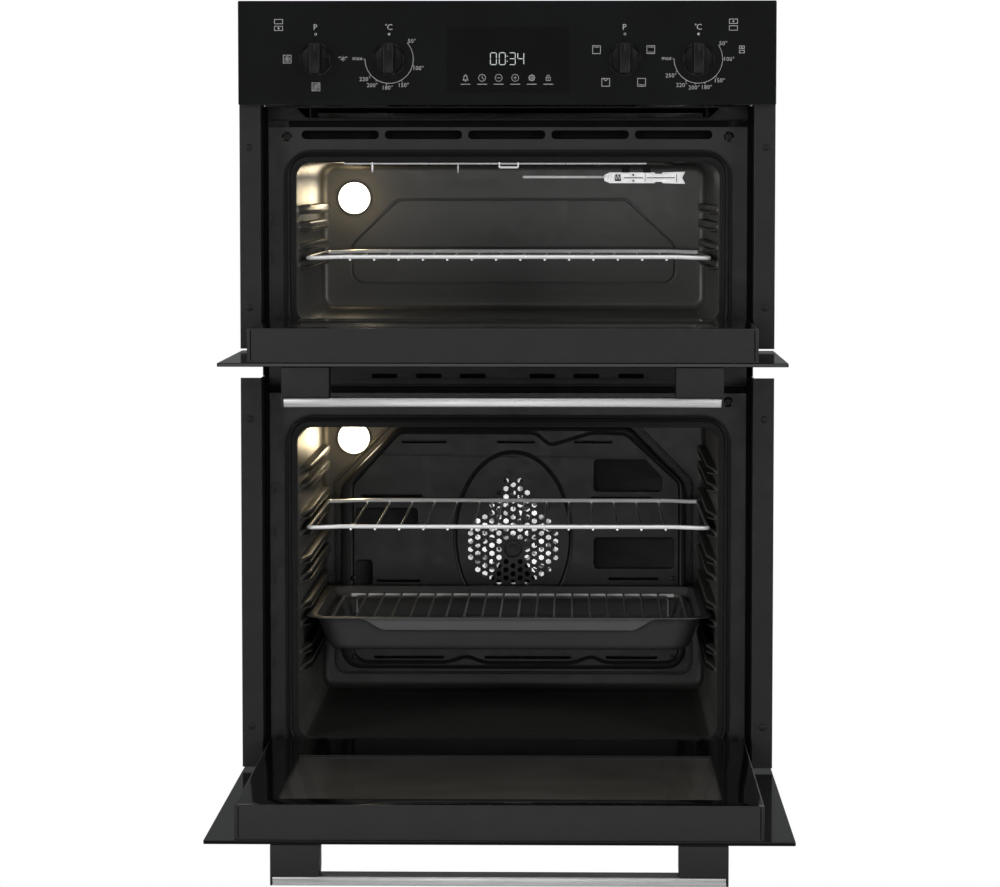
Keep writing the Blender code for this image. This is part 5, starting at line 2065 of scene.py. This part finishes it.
@dataclass
class TrayGrid:
    """The roasting grid that stands inside the tray."""

    bars: int = 18
    pitch: float = 0.0208
    height: float = 0.1850

    def build(self) -> None:
        """Bend the frame and lay the bars, cross rods and feet."""
        low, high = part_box("tray_grid")
        half, front, back, up = high.x - 0.0022, low.y + 0.0022, high.y - 0.0022, self.height
        rim = wire("rim", bent([(-half, front, up), (half, front, up), (half, back, up), (-half, back, up)],
            0.018, True), 0.0021, closed=True)
        first = wire("bar", [(0.0, front - 0.0008, up + 0.0026), (0.0, back + 0.0008, up + 0.0026)], 0.0013)
        bars = [twin(first, "bar", (self.pitch * (count - (self.bars - 1) / 2), 0.0, 0.0))
            for count in range(self.bars)]
        bpy.data.objects.remove(first, do_unlink=True)
        rods = []
        for depth in (front + 0.015, back - 0.015):
            rods.append(wire("rod", bent([(-0.190, depth, low.z - 0.0020), (-0.190, depth, up - 0.0004),
                (0.190, depth, up - 0.0004), (0.190, depth, low.z - 0.0020)], 0.006), 0.0018))
        grid = dress(merge("grid", [rim] + bars + rods), "roasting_grid", WIRE_STEEL_AND_PAINTED_SHADE, "grid",
            ["tray_grid"])
        # Painted highlight: the back rim gets the glowing chrome, so it shines brighter than the rest of the
        # same wire.
        second_finish(grid, CHROME_PAINTED_LIGHT, lambda centre, normal: centre.y > back - 0.0030)


# --- Doors --------------------------------------------------------------------


@dataclass
class Door:
    """A drop-down door, made as it hangs open: panes, folded pan and handle.

    Attributes:
        level: the oven that it closes.
        pin: height of its hinge pins.
    """

    level: Level
    pin: float
    window_half: float = 0.225
    notch: Flat = (0.2503, 0.2583)
    handle_drop: float = 0.0021

    def build(self) -> None:
        """Model the door's pieces from the outer glass to the handle."""
        name, body = self.level.value, f"{self.level.value}_door"
        low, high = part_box(f"{name}_door_glass")
        glass = plate("glass", [rounded(low.x, low.y, high.x, high.y, 0.0016)], low.z, high.z, Facing.TOP,
            rounding=0.0007)
        dress(glass, f"{name}_outer_pane", DOOR_GLASS, body, [f"{name}_door_glass"], False)
        self._pan(name, body)
        low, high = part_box(f"{name}_inner_glass")
        pane = plate("pane", [rounded(low.x, low.y, high.x, high.y, 0.004)], low.z, high.z, Facing.TOP,
            rounding=0.0006)
        dress(pane, f"{name}_inner_pane", INNER_PANE, body, [f"{name}_inner_glass"])
        self._handle(name, body)

    def _pan(self, name: str, body: str) -> None:
        """Fold the pan, cut its window and notches, and print its border.

        Args:
            name: the door's level.
            body: the body that it rides on.
        """
        low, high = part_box(f"{name}_door_pan")
        pane_low, pane_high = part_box(f"{name}_inner_glass")
        seat = 0.007
        pan = block("pan", low, (high.x, high.y, self.pin + 0.0320))
        with Shaping(pan) as work:
            work.edges(lambda middle, run: abs(run.z) > 0.9)
            work.bevel(0.0030, 4)
            work.edges(lambda middle, run: middle.z > self.pin + 0.0319)
            work.bevel(0.0022, 4)
            work.faces(lambda centre, normal: normal.z < -0.9)
            work.drop()
        modify(pan, "SOLIDIFY", thickness=SHEET, offset=-1.0)
        window = plate("window", [rounded(-self.window_half, pane_low.y + seat, self.window_half,
            pane_high.y - seat, 0.003)], self.pin + 0.02, self.pin + 0.05, Facing.TOP)
        combine(pan, [window], Join.CUT)
        cuts = [block("notch", (min(side * self.notch[0], side * self.notch[1]), high.y - 0.0230,
            low.z - 0.02), (max(side * self.notch[0], side * self.notch[1]), high.y + 0.02,
            self.pin + 0.05)) for side in (-1, 1)]
        cuts.append(plate("vent", [capsule(0.0, low.z + 0.0143, 0.240, 0.018)], high.y - 0.004,
            high.y + 0.004))
        combine(pan, cuts, Join.CUT)
        dress(pan, f"{name}_door_frame", DOOR_PAINT, body, [f"{name}_door_pan"])
        second_finish(pan, PANE_BORDER,
            lambda centre, normal: normal.z > 0.9 and centre.z > self.pin + 0.0315)
        caps = [block("cap", (side * (high.x - 0.0040) - 0.0005, low.y - 0.0004, low.z + 0.002),
            (side * (high.x - 0.0040) + 0.0005, low.y + 0.0008, self.pin + 0.0300), 0.0002, 1)
            for side in (-1, 1)]
        dress(merge("caps", caps), f"{name}_door_corner_folds", MATT_BLACK_AND_PAINTED_SHADE, body)

    def _handle(self, name: str, body: str) -> None:
        """Model the two brackets and the flat bar between them.

        Args:
            name: the door's level.
            body: the body that they ride on.
        """
        drop = Vector((0.0, 0.0, -self.handle_drop))
        low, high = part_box(f"{name}_handle_bracket_right")
        low = low + drop + Vector((0.0022, 0.0, 0.0))
        bar_low, bar_high = (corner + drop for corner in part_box(f"{name}_handle_bar"))
        foot = block("bracket", low, high)
        with Shaping(foot) as work:
            work.edges(lambda middle, run: middle.y > high.y - 0.0001 and middle.z < low.z + 0.0001)
            work.bevel(0.009, 6)
        modify(foot, "BEVEL", width=0.0011, segments=3, limit_method="ANGLE")
        cheek = block("cheek", (bar_high.x + 0.0001, bar_low.y, bar_low.z + 0.0002),
            (high.x, bar_high.y, low.z + 0.0030), 0.0008, 3)
        right = merge("bracket", [foot, cheek])
        left = twin(right, "left", mirrored=True)
        for side, piece in (("right", right), ("left", left)):
            dress(piece, f"{name}_{side}_grip_bracket", BRACKET_PLASTIC, body,
                [f"{name}_handle_bracket_{side}"])
        bar = block("bar", bar_low, bar_high)
        with Shaping(bar) as work:
            work.edges(lambda middle, run: abs(run.x) > 0.9)
            work.bevel(0.0022, 5)
            work.edges(lambda middle, run: abs(middle.x) > bar_high.x - 0.0001)
            work.bevel(0.0005, 2)
        dress(bar, f"{name}_grip_bar", BRUSHED_STEEL, body, [f"{name}_handle_bar"])


# --- Studio -------------------------------------------------------------------


@dataclass
class Studio:
    """The pale floor, the soft lights and the camera."""

    floor_height: float = -0.90
    floor_size: float = 40.0
    camera_place: Point = (0.0734, -3.9904, 0.6887)
    camera_turn: Point = (math.pi / 2 - 0.07252, 0.0, 0.0203)
    lens: float = 129.6

    def build(self) -> None:
        """Set up everything that isn't part of the oven."""
        self._floor()
        self._world()
        self._lights()
        self._camera()
        bpy.context.scene.view_settings.view_transform = "Standard"

    def _floor(self) -> None:
        """Lay a plain pale floor."""
        deselect()
        bpy.ops.mesh.primitive_plane_add(size=self.floor_size, location=(0.0, 0.0, self.floor_height))
        floor = bpy.context.object
        settle(floor)
        floor.name = "studio_floor"
        paint = Finish("studio_floor_paint", grey(0.80), grey(0.82), (0.8, 0.9), Texture.PEEL).material()
        nodes, links = paint.node_tree.nodes, paint.node_tree.links
        self._whiten(nodes, links, nodes["Principled BSDF"].outputs["BSDF"], nodes["Material Output"])
        floor.data.materials.append(paint)

    def _world(self) -> None:
        """Show white behind the oven, and light it softly from all round."""
        world = bpy.data.worlds.new("studio")
        world.use_nodes = True
        bpy.context.scene.world = world
        nodes, links = world.node_tree.nodes, world.node_tree.links
        surround = nodes["Background"]
        surround.inputs["Color"].default_value = (0.135, 0.138, 0.140, 1.0)
        self._whiten(nodes, links, surround.outputs["Background"], nodes["World Output"])

    def _whiten(self, nodes: bpy.types.Nodes, links: bpy.types.NodeLinks, shader: Socket,
            output: bpy.types.Node) -> None:
        """Let a surrounding look white itself, while it lights the oven with its own shade.

        Args:
            nodes: the nodes of its material or world.
            links: their links.
            shader: its own shade.
            output: its output node.
        """
        white = nodes.new("ShaderNodeEmission")
        white.inputs["Color"].default_value = (1.0, 1.0, 1.0, 1.0)
        path = nodes.new("ShaderNodeLightPath")
        blend = nodes.new("ShaderNodeMixShader")
        links.new(path.outputs["Is Camera Ray"], blend.inputs["Fac"])
        links.new(shader, blend.inputs[1])
        links.new(white.outputs["Emission"], blend.inputs[2])
        links.new(blend.outputs["Shader"], output.inputs["Surface"])

    def _area(self, name: str, place: Point, target: Point, size: Flat, power: float) -> None:
        """Hang one soft box.

        Args:
            name: its name.
            place: where it hangs.
            target: the point that it faces.
            size: its width and height.
            power: its power in watts.
        """
        data = bpy.data.lights.new(name, "AREA")
        data.shape = "RECTANGLE"
        data.size, data.size_y = size
        data.energy = power
        lamp = bpy.data.objects.new(name, data)
        lamp.location = place
        lamp.rotation_euler = (Vector(target) - Vector(place)).to_track_quat("-Z", "Y").to_euler()
        bpy.context.scene.collection.objects.link(lamp)

    def _lights(self) -> None:
        """Hang the soft boxes, and put a warm glow in front of both oven lamps."""
        for box in (
                ("left_box", (-2.9, -3.3, 1.1), (0.0, 0.2, 0.55), (1.5, 1.5), 75.0),
                ("right_box", (2.9, -3.3, 1.1), (0.0, 0.2, 0.55), (1.5, 1.5), 68.0),
                ("front_box", (0.0, -3.7, 2.30), (0.0, 0.0, 0.5), (2.4, 0.9), 22.0),
                ("low_box", (0.0, -4.5, 0.15), (0.0, 0.2, 0.45), (2.8, 0.6), 29.0),
                ("top_box", (0.0, -0.4, 3.0), (0.0, 0.0, 0.5), (2.6, 1.6), 40.0),
                ("rear_box", (0.6, 4.2, 2.4), (0.0, 0.5, 0.4), (3.0, 2.0), 85.0),
                ("left_rear_box", (-3.6, 1.6, 1.6), (0.0, 0.2, 0.4), (2.0, 2.0), 42.0),
                ("right_rear_box", (3.6, 1.2, 1.6), (0.0, 0.2, 0.4), (2.0, 2.0), 42.0)):
            self._area(*box)
        for level in Level:
            low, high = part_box(f"{level.value}_lamp_lens")
            data = bpy.data.lights.new(f"{level.value}_glow", "POINT")
            data.energy = 0.065 if level is Level.UPPER else 0.13
            data.color = (1.0, 0.74, 0.36)
            data.shadow_soft_size = 0.012
            lamp = bpy.data.objects.new(f"{level.value}_glow", data)
            lamp.location = ((low.x + high.x) / 2, low.y - 0.020, (low.z + high.z) / 2)
            bpy.context.scene.collection.objects.link(lamp)

    def _camera(self) -> None:
        """Stand the camera in front, a little above the upper door."""
        data = bpy.data.cameras.new("camera")
        data.sensor_width = 36.0
        data.lens = self.lens
        camera = bpy.data.objects.new("camera", data)
        camera.location = self.camera_place
        camera.rotation_euler = self.camera_turn
        bpy.context.scene.collection.objects.link(camera)
        bpy.context.scene.camera = camera


def main() -> None:
    """Build every sub-assembly, then the studio round them."""
    baffle = [(-0.222, 0.079), (0.222, 0.079), (0.222, 0.3210), (0.1470, 0.3980), (-0.1470, 0.3980),
        (-0.222, 0.3210)]
    hollow = [(-0.2010, 0.5620), (0.2005, 0.5620), (0.2005, 0.6110), (0.1405, 0.6690), (-0.1440, 0.6690),
        (-0.2010, 0.6110)]
    assemblies = [
        Casing(), FrontFrames(), AirOutlet(), Trims(), ControlPanel(), Knobs(),
        Cavity(Level.UPPER, (0.6043, 0.6473), hollow, 0.0036, (-0.196, 0.669), ENAMEL),
        Cavity(Level.LOWER, (0.1439, 0.1955, 0.2471, 0.2987, 0.3503), baffle, 0.0035, (-0.1975, 0.373),
            LOWER_ENAMEL_PAINTED_DARK),
        DoorSeal(Level.UPPER), DoorSeal(Level.LOWER), CavityLamp(Level.UPPER), CavityLamp(Level.LOWER),
        FanBay(), GrillElement(), Thermostat(),
        WireShelf(Level.UPPER, 0.6043), WireShelf(Level.LOWER, 0.2987), BakingTray(), TrayGrid(),
        Door(Level.UPPER, 0.505), Door(Level.LOWER, 0.034), Studio(),
    ]
    for assembly in assemblies:
        assembly.build()
        log.info("%s is done", type(assembly).__name__)


if __name__ == "__main__":
    logging.basicConfig(level=logging.INFO, format="%(message)s")
    main()
